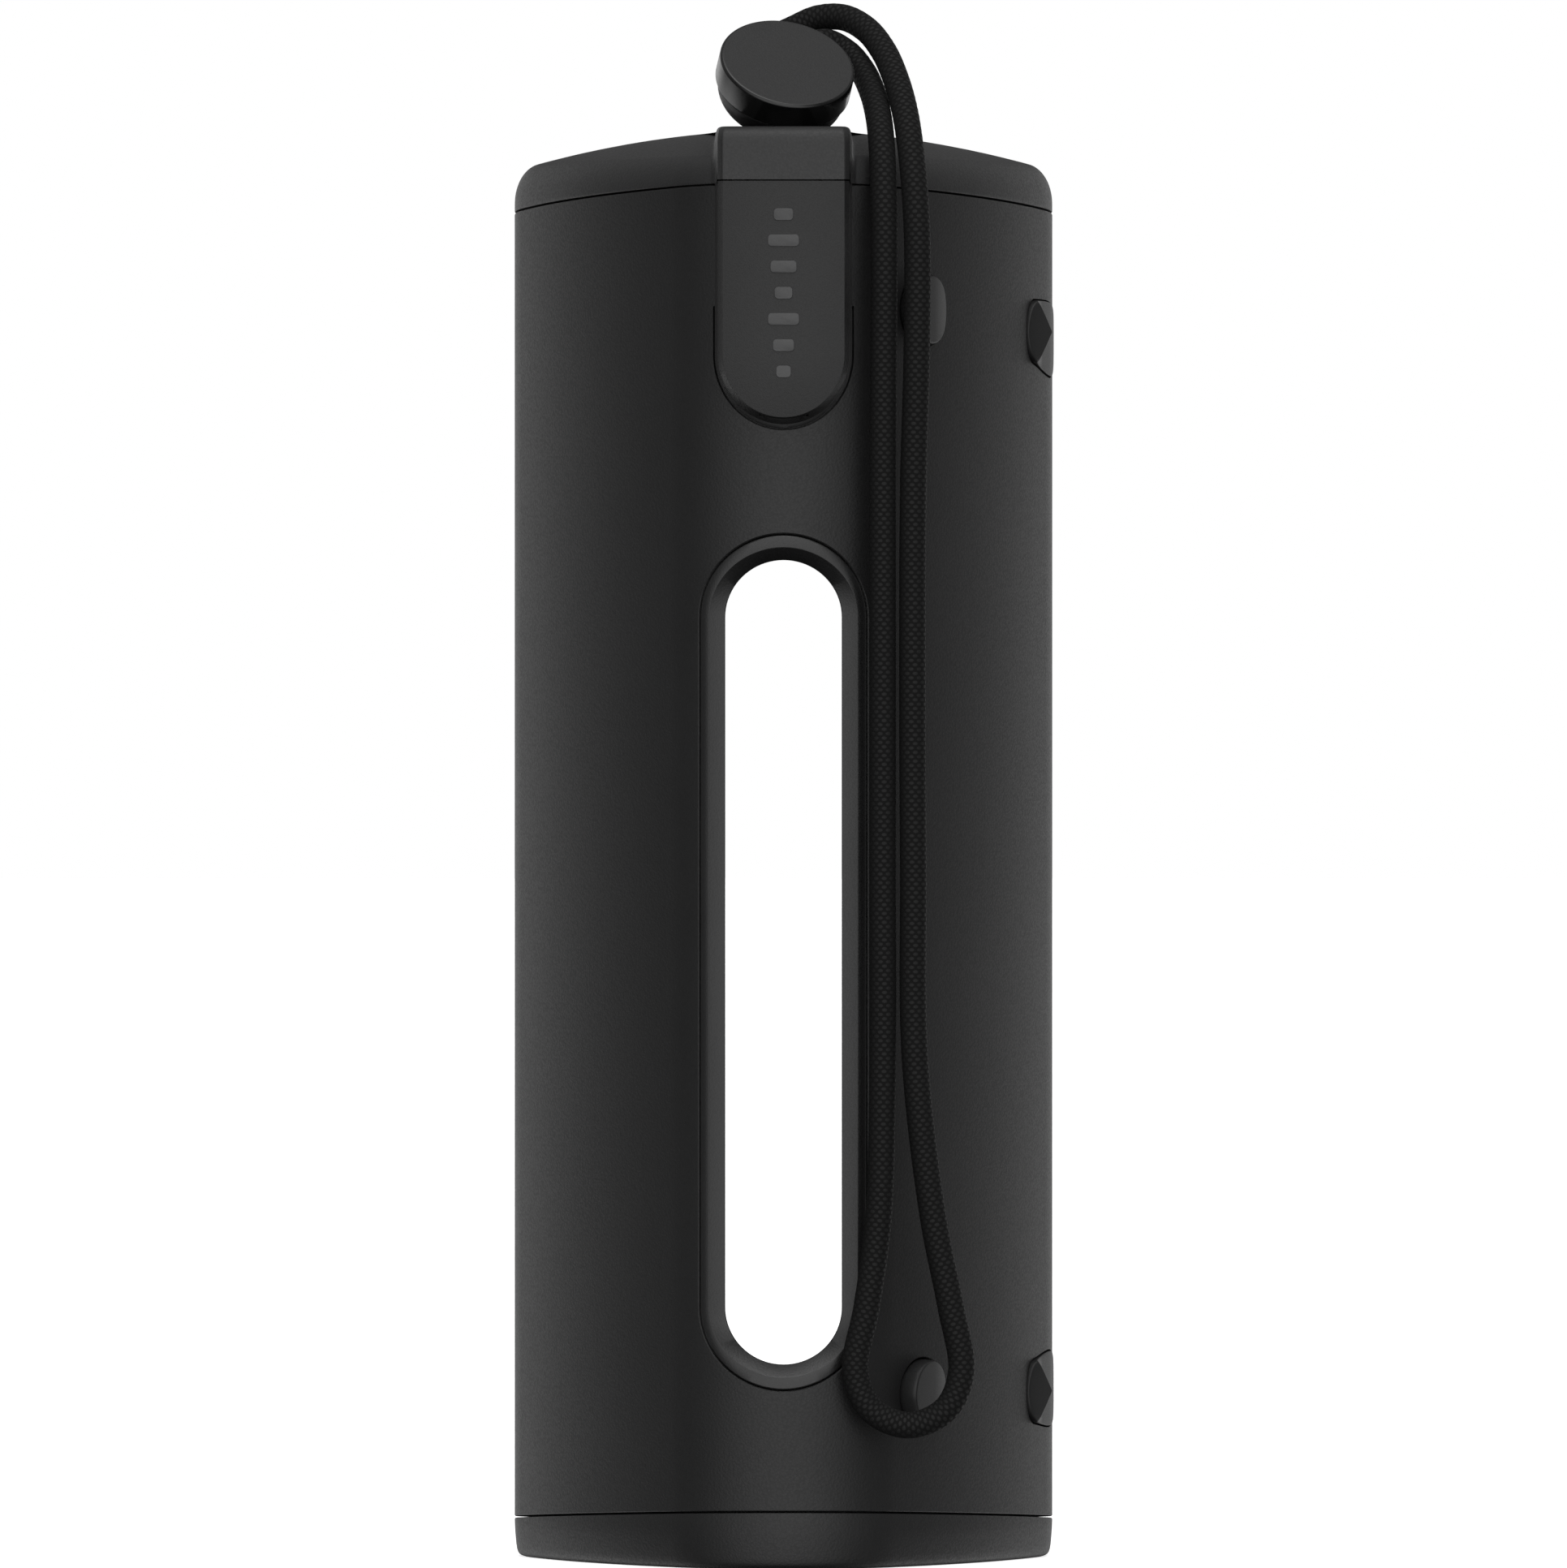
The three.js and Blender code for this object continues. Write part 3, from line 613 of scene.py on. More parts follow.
def cell_relief(around, along):
    """From 0 between the cells of the braid to 1 in the middle of one. Both are in cells."""
    best = np.zeros(np.broadcast(around, along).shape)
    for shift in (0, 0.5):
        du = (around + shift) % 1 - 0.5
        dv = (along + shift) % 1 - 0.5
        best = np.maximum(best, 1 - (du / 0.48) ** 2 - (dv / 0.36) ** 2)
    return np.sqrt(best)


def braid(name, path, length, r, sides, cells_around, relief):
    """A tube whose skin stands out a little at each cell, with a UV map that follows the cells."""
    cells_along = round(length / CELL_PITCH)
    around = np.arange(sides) * cells_around / sides
    along = np.linspace(0, cells_along, len(path))
    height = cell_relief(around[None, :], along[:, None])
    obj = loft(name, tube_rings(path, r - relief + relief * height, sides))
    uv = obj.data.uv_layers.new(name="UVMap")
    values = np.zeros((len(obj.data.loops), 2))
    for face in obj.data.polygons:
        if len(face.vertices) != 4:
            continue
        at = np.array(face.vertices)
        side = (at % sides).astype(float)
        if side.max() - side.min() > sides / 2:
            side[side < sides / 2] += sides
        values[list(face.loop_indices), 0] = side / sides
        values[list(face.loop_indices), 1] = (at // sides) / (len(path) - 1)
    uv.data.foreach_set("uv", values.ravel())
    return shade(obj, 60), cells_along


def wrist_cord():
    count, sides = ((1960, 48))
    path, length = even_path(smooth_path(CORD_ROUTE, 40), count)
    obj, cells = braid("wrist_cord", path, length, CORD_R, sides, CELLS_AROUND, 0.045 * MM)
    material = braided("cord_braid", CELLS_AROUND, cells)
    dress(obj, material, "cord", "lanyard", "lanyard_cord")


# ---- case ----
def wall_tube(name, outer, inner, low, high, edge=EDGE):
    """A wall of the case's outline with rounded ends. low and high give a height at each Y."""
    rings = []
    for inset, end, step in (
        (outer + edge, low, 0), (outer + edge * 0.3, low, edge * 0.3), (outer, low, edge),
        (outer, high, -edge), (outer + edge * 0.3, high, -edge * 0.3), (outer + edge, high, 0),
        (inner, high, 0), (inner, low, 0),
    ):
        points = outline(inset)
        rings.append(with_z(points, end(points[:, 1]) + step))
    return loft(name, rings, "loop")


def flat_tube(name, low, high, edge=EDGE):
    """A thin tube inside the wall, with level ends."""
    return wall_tube(name, LINER_OUT, LINER_IN, lambda y: low + 0 * y, lambda y: high + 0 * y, edge)


def sleeve_low(y):
    return seam_z(BOTTOM_SEAM, y) + SEAM_HALF


def sleeve_high(y):
    return seam_z(TOP_SEAM, y) - SEAM_HALF


def slot_cutter():
    """The slot's hole. It narrows a little below the surface, so the ring fills it."""
    narrow, wide, flared = stadium(SLOT_RING + 0.01 * MM), stadium(SLOT_CUT), stadium(SLOT_CUT + EDGE)
    return bore(
        (narrow, -10 * MM), (narrow, apex_y(narrow[:, 0]) + 1.2 * MM),
        (wide, apex_y(wide[:, 0]) + 1.1 * MM), (wide, apex_y(wide[:, 0]) + EDGE),
        (flared, apex_y(flared[:, 0])), (flared, -50 * MM),
    )


def window_cutter(grow, edge=0.3 * MM):
    narrow, wide = window(grow), window(grow + edge)
    return bore(
        (narrow, 15 * MM), (narrow, far_side_y(narrow[:, 0]) - edge),
        (wide, far_side_y(wide[:, 0])), (wide, 50 * MM),
    )


def panel_edge(gap):
    """The big shell's side edge in Y and Z, from above its top seam to below its bottom one."""
    r = PANEL_CORNER + gap
    y = SEAM_Y - PANEL_CORNER
    high, low = seam_z(TOP_SEAM, y) - PANEL_CORNER, seam_z(BOTTOM_SEAM, y) + PANEL_CORNER
    points = [(y, 180 * MM)]
    points += [(y + r * math.sin(a), high + r * math.cos(a)) for a in quarter(12)]
    points += [(y + r * math.cos(a), low - r * math.sin(a)) for a in quarter(12)]
    return points + [(y, -10 * MM)]


def panel_cutter(gap, keep):
    """Cuts away what lies beyond the big shell's side edge, or on its near side."""
    far = 100 * MM if keep == "near" else -100 * MM
    points = np.array(panel_edge(gap) + [(far, -10 * MM), (far, 180 * MM)])
    return loft("cutter", [
        np.column_stack([np.full(len(points), x), points[:, 0], points[:, 1]]) for x in (-.1, .1)
    ])


def foot_frame(along, z):
    """Where a foot's axis meets the wall, and the wall's outward direction there."""
    out = math.sqrt(SIDE_R**2 - along**2)
    facing = FOOT_SIDE * out / SIDE_R + FOOT_ALONG * along / SIDE_R
    return FOOT_SIDE * (out - SIDE_BACK) + FOOT_ALONG * along + (0, 0, z), facing


def foot_outline(kind, grow=0.0, steps=144):
    """A foot's outline along and across the wall. Outer feet run on round the corner and widen."""
    top, bottom = FOOT_FLARE[kind]
    points = []
    for a in np.arange(steps) * TURN / steps:
        u, v = math.cos(a), math.sin(a)
        if kind == "inner":
            points.append(((FOOT_R + grow) * u, (FOOT_R + grow) * v))
        elif u < 0:
            points.append(((OUTER_ROUND + grow) * u - OUTER_BACK, (OUTER_HALF + grow) * v))
        else:
            u, v = (OUTER_RUN + grow) * math.sqrt(u), math.copysign(math.sqrt(abs(v)), v)
            points.append((u - OUTER_BACK, v * (OUTER_HALF + grow + (top if v > 0 else bottom) * u)))
    return np.array(points)


def foot_ring(at, facing, points, height):
    across = np.cross((0, 0, 1), facing)
    flat = at + np.outer(points[:, 0], across) + np.outer(points[:, 1], (0, 0, 1))
    return flat + np.outer(np.broadcast_to(height, len(points)), facing)


def foot_hole(along, z, kind):
    """The recess that a foot sits in. Round ones have a chamfered edge."""
    chamfer = 0.14 * MM
    wide = FOOT_ROOM + (chamfer if kind == "inner" else 0)
    return loft("cutter", [
        foot_ring(*foot_frame(along, z), foot_outline(kind, grow), height)
        for grow, height in ((FOOT_ROOM, -5 * MM), (FOOT_ROOM, -chamfer), (wide, 0), (wide, 5 * MM))
    ])


def slit_cutter():
    """The groove round the lower part of the tongue."""
    points = [(-SLIT_HALF, SLIT_TOP), (-SLIT_HALF, 150 * MM)]
    points += [
        (-SLIT_HALF * math.cos(a), TONGUE_ROUND_Z - SLIT_DROP * math.sin(a))
        for a in np.linspace(0, math.pi, 61)
    ]
    points += [(SLIT_HALF, 150 * MM), (SLIT_HALF, SLIT_TOP)]
    path = np.array(points)
    tangent = np.gradient(path, axis=0)
    tangent /= np.linalg.norm(tangent, axis=1)[:, None]
    across = np.column_stack([tangent[:, 1], -tangent[:, 0]]) * SLIT_OPEN
    return loft("cutter", [
        np.array([(p[0], apex_y(p[0]) + deep, p[1]) for p, deep in (
            (at + off, -MM), (at - off, -MM), (at - off, SLIT_DEEP), (at + off, SLIT_DEEP))])
        for at, off in zip(path, across)
    ])


def sleeve_back():
    obj = wall_tube("sleeve_back", 0, WALL, sleeve_low, sleeve_high)
    tools = [panel_cutter(-SEAM_HALF, "near"), slot_cutter(), slit_cutter()]
    tools += [foot_hole(*place) for place in FEET.values()]
    tools += [block("cutter", *HINGE_ROOM), block("cutter", *CATCH_SEAT)]
    return dress(shade_as_wall(combine(obj, tools)), SHELL, "shell", "case", "back_shell")


def sleeve_front():
    obj = wall_tube("sleeve_front", 0, WALL, sleeve_low, sleeve_high)
    combine(obj, [panel_cutter(SEAM_HALF, "far"), window_cutter(0)])
    return dress(shade_as_wall(obj), SHELL, "shell", "case", "front_frame")


def sleeve_lining():
    low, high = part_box("inner_liner")
    obj = flat_tube("sleeve_lining", low.z, high.z)
    combine(obj, [slot_cutter(), window_cutter(MM)])
    return dress(shade_as_wall(obj), LINING, "lining", "case", "inner_liner")


def slot_ring():
    """A ring that lies flush in the wall and slopes in to the opening."""
    rings = []
    for half, less, deep in (
        (SLOT_RING, END_LESS, 2.9), (SLOT_RING, END_LESS, 0.16), (SLOT_RING - 0.05 * MM, END_LESS, 0.05),
        (SLOT_RING - 0.15 * MM, END_LESS, 0), (SLOT_LIP + 0.08 * MM, LIP_LESS, 0),
        (SLOT_LIP, LIP_LESS, 0.03), (SLOT_LIP - 0.07 * MM, LIP_LESS, 0.1),
        (SLOT_OPEN + 0.08 * MM, END_LESS, 1.38), (SLOT_OPEN, END_LESS, 1.5), (SLOT_OPEN, END_LESS, 2.9),
    ):
        points = stadium(half, less)
        rings.append(seen_from_front(points, apex_y(points[:, 0]) + deep * MM))
    return dress(shade(loft("slot_ring", rings, "loop"), 25), RING, "trim", "case", "slot_bezel")


def base_cap():
    """The bottom cap: a low tray whose outer edge curves in under the case."""
    def top(y):
        return seam_z(BOTTOM_SEAM, y) - SEAM_HALF

    rings = []
    for inset, z in ((1.9, 0.03), (1.5, 0), (1.2, 0.03), (0.85, 0.14), (0.6, 0.3), (0.42, 0.55),
                     (0.3, 0.9), (0.2, 1.5), (0.1, 2.6), (0.03, 3.6)):
        rings.append(level_ring(inset * MM, z * MM))
    for inset, step in ((0, EDGE), (EDGE * 0.3, EDGE * 0.3), (EDGE, 0), (WALL, 0)):
        points = outline(inset)
        rings.append(with_z(points, top(points[:, 1]) - step))
    for more, z in ((0, 2.4), (0.1, 2.1), (0.4, 2.0)):
        rings.append(level_ring(WALL + more * MM, z * MM))
    return dress(shade(loft("base_cap", rings)), SHELL, "shell", "case", "bottom_cap")


def base_pad():
    """A flat foam pad with soft edges."""
    low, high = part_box("bottom_pad")
    inset, soft = LINER_IN + 0.3 * MM, 0.5 * MM
    rings = [level_ring(inset + soft * (1 - math.sin(a)), low.z + soft * (1 - math.cos(a)))
             for a in quarter(6)]
    rings += [level_ring(inset + soft * (1 - math.cos(a)), high.z - soft * (1 - math.sin(a)))
              for a in quarter(6)]
    return dress(shade(loft("base_pad", rings), 60), FOAM, "foam", "case", "bottom_pad")


def soft_least(a, b, soft):
    """The smaller of two heights, with the crease between them rounded."""
    h = np.clip(0.5 + 0.5 * (a - b) / soft, 0, 1)
    return a * (1 - h) + b * h - soft * h * (1 - h)


def foot(node, along, z, kind):
    """A soft foot. Inner ones are rounded discs that slope down on one side, outer ones are ridged."""
    at, facing = foot_frame(along, z)
    edge = foot_outline(kind)
    rings = [foot_ring(at, facing, edge, -FOOT_SUNK)]
    for part in np.sin(np.linspace(math.pi / 2, 0.01, 60)):
        points = edge * part
        u, v = points[:, 0], points[:, 1]
        base = foot_ring(at, facing, points, 0)
        drop = u**2 / (2 * SIDE_R) + np.maximum(u - 3.1 * MM, 0) ** 2 / (2 * CORNER_R)
        rise = max(1 - part**5, 0)
        if kind == "inner":
            flat = (FOOT_PLANE - base @ FOOT_SIDE) / (facing @ FOOT_SIDE)
            height = soft_least(flat, 1.95 * MM - 0.38 * u, 0.4 * MM)
            height = soft_least(height, 3.5 * MM * rise**0.62, 0.5 * MM)
        else:
            front = RIM + 0.345 * (u + FOOT_R)
            roof = RIDGE - 0.54 * np.abs(v) - 0.5 * (u - RIDGE_AT)
            height = -soft_least(-soft_least(front, roof, 0.1 * MM), -0.25 * MM, 0.1 * MM) * rise**0.12
        rings.append(foot_ring(at, facing, points, height - drop))
    return dress(shade(loft(node + "_pad", rings), 50), RUBBER, "rubber", "case", node)


def catch_nub():
    low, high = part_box("latch_catch")
    obj = rounded(block("catch_nub", low, high), 0.3 * MM)
    return dress(shade(obj), STEEL, "steel", "case", "latch_catch")


# ---- lid ----
def dome_at(z):
    """How far in the lid's outline is at a height, and its scale."""
    up = np.clip((z - WALL_TOP) / EDGE_RISE, 0, math.sin(EDGE_END))
    inset = EDGE_IN * (1 - np.sqrt(1 - up**2))
    scale = np.sqrt(np.clip((LID_TOP - z) / (LID_TOP - CROWN_Z), 1e-6, 1))
    return inset, scale


def dome_distance(x, y, z):
    inset, scale = dome_at(z)
    far, _, _ = wall_field(x / scale, y / scale)
    return far * scale + inset * scale


def block_distance(x, y, z):
    """The raised block over the latch: a rounded box in plan, a little wider at its root."""
    up = np.clip((z - (BLOCK_TOP - BLOCK_ROUND)) / BLOCK_ROUND, 0, 1)
    inset = BLOCK_ROUND * (1 - np.sqrt(1 - up**2))
    lean = BLOCK_LEAN * np.clip((z - TONGUE_TOP) / (BLOCK_TOP - TONGUE_TOP), 0, 1)
    front = BLOCK_FRONT + lean + inset
    deep = y - front
    half = FACE_HALF - inset * 0.3 + (FLANK_HALF - FACE_HALF) * np.clip(deep / CHAMFER_DEEP, 0, 1)
    half = half + 0.1 * np.clip(deep - CHAMFER_DEEP, 0, 3.2 * MM)
    corner = 0.15 * MM
    qx = np.abs(x) - half + corner
    qy = np.maximum(front - y, y - BLOCK_BACK) + corner
    return np.hypot(np.maximum(qx, 0), np.maximum(qy, 0)) + np.minimum(np.maximum(qx, qy), 0) - corner


def reach(field, centre, angle, z):
    """How far from the centre the field's edge is, at each angle and height."""
    near, far = np.zeros(len(angle)), np.full(len(angle), 60 * MM)
    for _ in range(26):
        middle = (near + far) / 2
        outside = field(middle * np.cos(angle), centre + middle * np.sin(angle), z) > 0
        near, far = np.where(outside, near, middle), np.where(outside, middle, far)
    return near


def lid_ring(height, inset=0.0):
    """One ring of the lid and its block. height gives Z at each Y."""
    flank = np.radians(np.concatenate([np.linspace(15, 27, 49), np.linspace(28, 88, 41)]))
    angle = np.concatenate([-math.pi / 2 + flank, -math.pi / 2 - flank, np.arange(150) * TURN / 150])
    angle = np.unique(np.round(angle % TURN, 5))
    y = np.full(len(angle), BLOCK_CENTRE)
    fillet = 1.3 * MM
    for _ in range(4):
        z = height(y)
        a = reach(dome_distance, BLOCK_CENTRE, angle, z)
        b = reach(block_distance, BLOCK_CENTRE, angle, z)
        h = np.maximum(fillet - np.abs(a - b), 0) / fillet
        r = np.maximum(a, b) + h * h * fillet / 4 - inset
        y = BLOCK_CENTRE + r * np.sin(angle)
    return np.column_stack([r * np.cos(angle), y, height(y)])


def lid_outside():
    def seam(y):
        return seam_z(TOP_SEAM, y) + SEAM_HALF

    level = 168.9 * MM  # the first ring that lies flat
    rings = [lid_ring(seam, EDGE), lid_ring(lambda y: seam(y) + EDGE * 0.3, EDGE * 0.3)]
    for w in np.linspace(0, 1, 8):
        rings.append(lid_ring(lambda y, w=w: (seam(y) + EDGE) * (1 - w) + level * w))
    start = math.asin((level - WALL_TOP) / EDGE_RISE)
    heights = list(WALL_TOP + EDGE_RISE * np.sin(np.linspace(start, EDGE_END, 14))[1:])
    heights += list(np.linspace(CROWN_Z, BLOCK_TOP - BLOCK_ROUND, 14)[1:])
    heights += list(BLOCK_TOP - BLOCK_ROUND * (1 - np.sin(quarter(10)[1:])))
    rings += [lid_ring(lambda y, z=z: z + 0 * y) for z in heights]
    angle = np.arctan2(rings[-1][:, 1] - BLOCK_CENTRE, rings[-1][:, 0])
    for scale in (0.4, 0.33, 0.25, 0.17, 0.09, 0.02):
        z = LID_TOP - (LID_TOP - CROWN_Z) * scale**2 + np.zeros(len(angle))
        r = reach(dome_distance, 0.0, angle, z)
        rings.append(np.column_stack([r * np.cos(angle), r * np.sin(angle), z]))
    return loft("lid_shell", rings)


def lid_cavity():
    drop = 2.2 * MM
    rings = [level_ring(WALL, 150 * MM)]
    for a in np.linspace(0, EDGE_END, 8):
        z = WALL_TOP + (EDGE_RISE - drop) * math.sin(a)
        rings.append(level_ring(WALL + EDGE_IN * (1 - math.cos(a)), z))
    for scale in (0.9, 0.75, 0.6, 0.45, 0.3, 0.15, 0.03):
        z = CROWN_Z - drop + (LID_TOP - CROWN_Z) * (1 - scale**2)
        rings.append(level_ring(WALL + CROWN_IN, z, scale))
    return combine(loft("cutter", rings), [block("boss", *BOSS)])


def lid_shell():
    """The lid with its block, room for the latch's hinge, and the pocket of the tether's bar."""
    scoop = [(0, SCOOP_HALF), (SCOOP_END_R, SCOOP_HALF), (SCOOP_END_R, FLANK_HALF), (SCOOP_R, FACE_HALF)]
    scoop = [(r, -x) for r, x in scoop] + scoop[::-1]
    obj = combine(lid_outside(), [
        lid_cavity(),
        turned("cutter", scoop, (0, PIN_Y, PIN_Z), (1, 0, 0)),
        block("cutter", *TONGUE_ROOM),
        rounded(block("cutter", *BAR_POCKET), 0.5 * MM),
    ])
    for x0, x1 in ((-EAR_OUT, -EAR_IN), (EAR_IN, EAR_OUT)):
        top = (x1, PIN_Y + KNUCKLE_R, PIN_Z + 3.4 * MM)
        ear = block("ear", (x0, PIN_Y - 0.5 * MM, PIN_Z), top)
        ear = combine(ear, [rod("ear", KNUCKLE_R, x0, x1, PIN_Y, PIN_Z)], "UNION")
        ear = combine(ear, [rod("cutter", PIN_HOLE, x0 - MM, x1 + MM, PIN_Y, PIN_Z)])
        obj = combine(obj, [ear], "UNION")
    obj = combine(obj, [rounded(block("sill", *SILL), 0.4 * MM)], "UNION")
    return dress(shade(obj, 32), LID, "lid", "lid", "top_cap")


def lid_band(name, material, slot, node):
    low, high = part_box(node)
    return dress(shade_as_wall(flat_tube(name, low.z, high.z, 0.2 * MM)), material, slot, "lid", node)


def lid_pad():
    """Foam that follows the inside of the dome, cut back for the block's boss."""
    low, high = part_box("top_pad")
    rings = [level_ring(WALL + EDGE_IN, low.z, scale) for scale in (0.77, 0.8)]
    crown = high.z - low.z - 1.2 * MM
    for scale in (0.8, 0.7, 0.6, 0.48, 0.36, 0.24, 0.12, 0.03):
        rings.append(level_ring(WALL + EDGE_IN, high.z - crown * (scale / 0.8) ** 2, scale))
    obj = combine(loft("lid_pad", rings), [block("cutter", *PAD_NOTCH)])
    return dress(shade(obj), FOAM, "foam", "lid", "top_pad")


def steel_rod(name, node, chamfer):
    low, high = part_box(node)
    r = (high.z - low.z) / 2
    obj = rod(name, r, low.x, high.x, (low.y + high.y) / 2, (low.z + high.z) / 2, chamfer)
    return dress(shade(obj), STEEL, "steel", "lid", node)


def tether():
    """A short loop of thin cord round the bar, tied off in a small knot."""
    to_knot = math.atan2(KNOT_Z - BAR_Z, KNOT_Y - BAR_Y)

    def knot_side(off):
        return (0, KNOT_Y - off * math.sin(to_knot), KNOT_Z + off * math.cos(to_knot))

    points = [knot_side(TETHER_APART)]
    for a in to_knot + math.pi / 2 + np.linspace(0, math.pi, 7):
        points.append((0, BAR_Y + TETHER_TURN * math.cos(a), BAR_Z + TETHER_TURN * math.sin(a)))
    points.append(knot_side(-TETHER_APART))
    path, length = even_path(smooth_path(points, 12), 90)
    loop, cells = braid("tether", path, length, TETHER_R, 24, TETHER_CELLS, 0.04 * MM)
    t = np.linspace(0, TURN, 120)
    knot = 0.36 * MM * np.column_stack([
        np.sin(t) + 2 * np.sin(2 * t), np.cos(t) - 2 * np.cos(2 * t), -1.2 * np.sin(3 * t)])
    ball = tube("tether_knot", knot + (0, KNOT_Y, KNOT_Z), 0.5 * MM, 16)
    ball.data.uv_layers.new(name="UVMap")
    material = braided("tether_braid", TETHER_CELLS, cells)
    dress(loop, material, "cord", "lid", "tether_loop")
    shade(ball, 60).data.materials.append(material)
    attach(ball, "lid")


# ---- latch ----
def tongue_ring(half, drop, front):
    """The tongue's outline: straight sides, a half-round lower end. front gives Y at each X."""
    points = [(half, TONGUE_TOP), (-half, TONGUE_TOP)]
    points += [(-half, z) for z in np.linspace(TONGUE_TOP, TONGUE_ROUND_Z, 12)[1:-1]]
    points += [
        (-half * math.cos(a), TONGUE_ROUND_Z - drop * math.sin(a)) for a in np.linspace(0, math.pi, 73)
    ]
    points += [(half, z) for z in np.linspace(TONGUE_ROUND_Z, TONGUE_TOP, 12)[1:-1]]
    points = np.array(points)
    return seen_from_front(points, front(points[:, 0]))


def latch_tongue():
    def wall_less(gap):
        return lambda x: apex_y(np.clip(x, -.013, .013)) - gap * MM

    def level(y):
        return lambda x: y + 0 * x

    rings = [tongue_ring(half, drop * MM, front) for half, drop, front in (
        (FACE_HALF - 0.1 * MM, 7.58, level(TONGUE_FRONT)),
        (FACE_HALF - 0.03 * MM, 7.66, level(TONGUE_FRONT + 0.03 * MM)),
        (FACE_HALF, 7.7, level(TONGUE_FRONT + 0.1 * MM)),
        (FLANK_HALF - 0.05 * MM, 7.8, level(TONGUE_FRONT + CHAMFER_DEEP)),
        (FLANK_HALF, 8.4, wall_less(0.5)), (8.04 * MM, 8.46, wall_less(0.36)),
        (8.1 * MM, 8.6, wall_less(0.3)), (8.22 * MM, 8.86, wall_less(0.2)),
        (8.27 * MM, 8.95, wall_less(0.08)), (8.27 * MM, 8.95, level(-30 * MM)),
    )]
    inside, half = TONGUE_FRONT + 0.75 * MM, 4.2 * MM
    obj = combine(loft("latch_tongue", rings), [
        loft("cutter", [level_ring(-0.03 * MM, z) for z in (100 * MM, 200 * MM)]),
        block("cutter", (-.0069, inside, PIN_Z - 2.3 * MM), (.0069, -.02, .2)),
    ])
    arm = block("arm", (-half, inside - 0.2 * MM, PIN_Z - KNUCKLE_R), (half, PIN_Y, TONGUE_TOP))
    knuckle = combine(rod("knuckle", KNUCKLE_R, -half, half, PIN_Y, PIN_Z), [arm], "UNION")
    obj = combine(combine(obj, [knuckle], "UNION"), [
        rod("cutter", PIN_HOLE, -.009, .009, PIN_Y, PIN_Z),
        block("cutter", *NOSE_ROOM),
    ])
    return dress(shade(obj, 32), TRIM, "trim", "latch", "latch_lever")


def badge_bars():
    """A column of low raised bars of different widths, like a level display."""
    low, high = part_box("level_plate")
    halves = [0.9, 1.3, 1.9, 1.1, 1.6, 1.9, 1.2]
    pitch = (high.z - low.z) / len(halves)
    points, faces = [], []
    for i, half in enumerate(halves):
        z = low.z + pitch * (i + 0.5)
        corner, up = 0.45 * MM, pitch * 0.23
        shape = []
        for sx, sz, start in ((1, 1, 0), (-1, 1, 1), (-1, -1, 2), (1, -1, 3)):
            for a in quarter(7) + start * math.pi / 2:
                shape.append((sx * (half * MM - corner) + corner * math.cos(a),
                              sz * (up - corner) + corner * math.sin(a)))
        shape = np.array(shape)
        for shrink, y in ((1, 0.1), (1, -0.07), (0.985, -0.11), (0.96, -0.13)):
            ring = shape * shrink + (0, z)
            points += seen_from_front(ring, TONGUE_FRONT + y * MM).tolist()
        faces += skin(4, len(shape), first=len(points) - 4 * len(shape))
    return dress(shade(make("badge_bars", points, faces)), MARK, "mark", "latch", "level_plate")


# ---- lanyard puck ----
def cord_room():
    """The channels that the two ends of the cord are clamped in."""
    ends = smooth_path(CORD_ROUTE, 6)
    return [tube("cutter", end, CORD_ROOM, 20) for end in (ends[:30], ends[-30:])]


def puck_face():
    """The puck's cap: a grained flat face, and a polished edge and side."""
    profile = [(PUCK_R - PUCK_RIM - 0.1 * MM, 0)]
    for a in quarter(10):
        profile.append((PUCK_R - PUCK_RIM * (1 - math.sin(a)), -PUCK_RIM * (1 - math.cos(a))))
    for a in quarter(10):
        profile.append((PUCK_R - PUCK_EDGE * (1 - math.cos(a)), -PUCK_CAP + PUCK_EDGE * (1 - math.sin(a))))
    obj = combine(turned("puck_face", profile, PUCK_AT, PUCK_FACING, 160), cord_room())
    dress(shade(obj, 32), PUCK, "puck", "lanyard", "puck_cap")
    obj.data.materials.append(POLISHED)
    for face in obj.data.polygons:
        face.material_index = 0 if face.normal @ Vector(PUCK_FACING) > 0.98 else 1
    return obj


def puck_bowl():
    """The puck's lower half, with room for the knot and for the tether at every angle."""
    top = -PUCK_CAP - BOWL_GAP
    lip = top - 0.35 * MM
    wide = PUCK_R - BOWL_LESS - BOWL_BASE
    profile = [(0, top), (BOWL_BASE + wide - 0.25 * MM, top), (BOWL_BASE + wide, top - 0.2 * MM)]
    profile += [
        (BOWL_BASE + wide * math.cos(a), lip - (PUCK_DEEP + lip) * math.sin(a)) for a in quarter(18)
    ]
    profile.append((0, -PUCK_DEEP))
    obj = turned("puck_bowl", profile, PUCK_AT, PUCK_FACING, 128)
    tools = cord_room()
    tools.append(rod("cutter", KNOT_ROOM, -KNOT_ROOM, KNOT_ROOM, KNOT_Y, KNOT_Z))
    to_bar = math.atan2(BAR_Z - KNOT_Z, BAR_Y - KNOT_Y)
    for part in (0, 0.5, 1):
        way = block("cutter", (-KNOT_ROOM, 0, -2.9 * MM), (KNOT_ROOM, 12 * MM, 2.9 * MM))
        turn = Matrix.Translation((0, KNOT_Y, KNOT_Z)) @ Matrix.Rotation(to_bar + part * SWING, 4, "X")
        way.data.transform(turn)
        tools.append(way)
    return dress(shade(combine(obj, tools), 32), PUCK, "puck", "lanyard", "puck_cup")


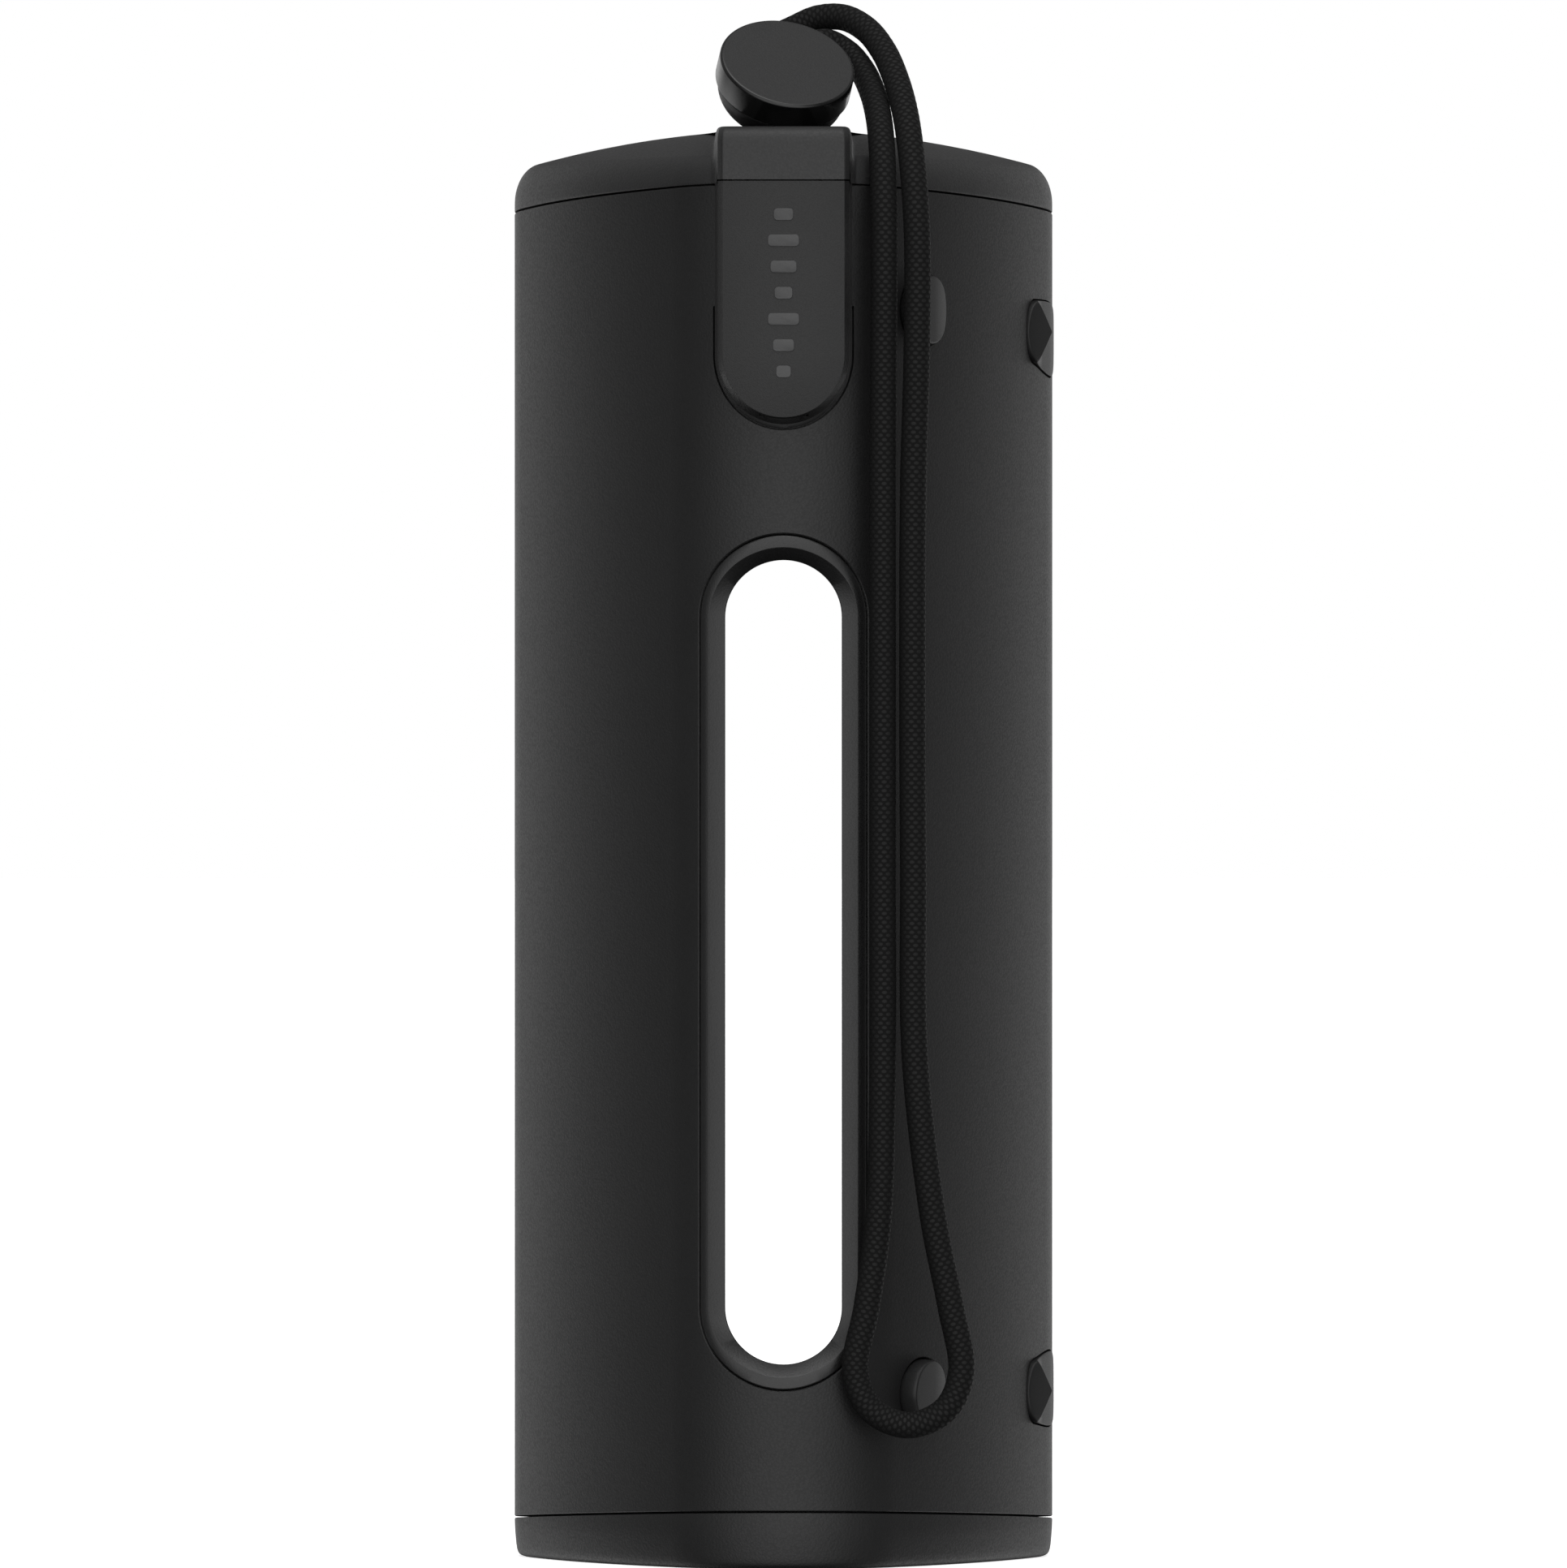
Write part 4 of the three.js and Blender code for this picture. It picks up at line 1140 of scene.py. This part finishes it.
# ---- stage ----
def floor():
    """A wide pale floor. It glows a little, so that it is as white as the backdrop."""
    half = 60
    mesh = bpy.data.meshes.new("floor")
    corners = [(sx * half, sy * half, 0) for sx, sy in ((-1, -1), (1, -1), (1, 1), (-1, 1))]
    mesh.from_pydata(corners, [], [(0, 1, 2, 3)])
    obj = put("floor", mesh)
    obj.visible_diffuse = obj.visible_glossy = False
    m = Nodes(bpy.data.materials.new("floor_paint"))
    cloud = m.add("ShaderNodeTexNoise", Scale=3.0, Detail=2.0)
    m.join(m.ramp(cloud.outputs["Fac"], 0.89, 0.9), m.shader.inputs["Base Color"])
    m.shader.inputs["Roughness"].default_value = 0.9
    m.shader.inputs["Specular IOR Level"].default_value = 0.0
    m.shader.inputs["Emission Color"].default_value = (1, 1, 1, 1)
    m.shader.inputs["Emission Strength"].default_value = 0.72
    mesh.materials.append(m.owner)


def surroundings():
    """A white backdrop. Its light is soft lobes about chosen directions, on top of an even light.

    Each lobe grows from none to its amount as the cosine to its direction goes from start to end.
    """
    m = Nodes(bpy.data.worlds.new("studio"))
    m.tree.nodes.clear()
    toward = m.add("ShaderNodeTexCoord").outputs["Generated"]
    lobes = [
        ((0, -1, 0), 0.46, 0.98, 1.15), ((0, -0.3, 0.95), 0.84, 1.0, 2.0),
        ((0, 0, 1), 0.5, 1.0, 0.10), ((0, 0, -1), 0.0, 0.6, -0.11),
    ]
    for x, y, z, start, end, amount in (
        (0.5, 0.86, 0.05, 0.87, 1.0, 0.85),
        (0.72, 0.25, 0.65, 0.7, 1.0, 0.15),
        (0.7, 0.52, -0.49, 0.88, 1.0, 1.6),
    ):
        lobes += [((side * x, y, z), start, end, amount) for side in (-1, 1)]
    total = BASE_LIGHT
    for direction, start, end, amount in lobes:
        spread = m.add("ShaderNodeMapRange", interpolation_type="SMOOTHSTEP")
        m.join(m.vector("DOT_PRODUCT", toward, direction), spread.inputs[0])
        for k, value in enumerate((start, end, 0, amount)):
            spread.inputs[k + 1].default_value = value
        total = m.math("ADD", spread.outputs[0], total)
    light, backdrop = m.add("ShaderNodeBackground"), m.add("ShaderNodeBackground")
    m.join(total, light.inputs["Strength"])
    light.inputs["Color"].default_value = backdrop.inputs["Color"].default_value = (1, 1, 1, 1)
    mix = m.add("ShaderNodeMixShader")
    m.join(m.add("ShaderNodeLightPath").outputs["Is Camera Ray"], mix.inputs[0])
    m.join(light.outputs[0], mix.inputs[1])
    m.join(backdrop.outputs[0], mix.inputs[2])
    m.join(mix.outputs[0], m.add("ShaderNodeOutputWorld").inputs["Surface"])
    bpy.context.scene.world = m.owner
    bpy.context.scene.view_settings.view_transform = "Standard"


def lamp(name, at, size, power):
    data = bpy.data.lights.new(name, "AREA")
    data.size, data.energy = size, power
    obj = put(name, data)
    obj.location = at
    obj.rotation_euler = (Vector((0, 0, 0.09)) - Vector(at)).to_track_quat("-Z", "Y").to_euler()
    obj.visible_camera = False


# ---- the object ----
camera()
wrist_cord()

base_cap()
sleeve_back()
sleeve_front()
slot_ring()
sleeve_lining()
base_pad()
catch_nub()
for foot_name, place in FEET.items():
    foot(foot_name, *place)

lid_shell()
lid_band("lid_collar", SHELL, "shell", "lid_skirt")
lid_band("lid_gasket", RUBBER, "rubber", "lid_seal")
lid_pad()
steel_rod("hinge_pin", "latch_pin", 0.12 * MM)
steel_rod("tether_bar", "anchor_bar", 0.1 * MM)
tether()

latch_tongue()
badge_bars()

puck_face()
puck_bowl()

floor()
surroundings()
lamp("key", (0.7, -2.0, 1.2), 1.2, 3)
lamp("top", (0, -0.2, 2.2), 1.5, 2.5)
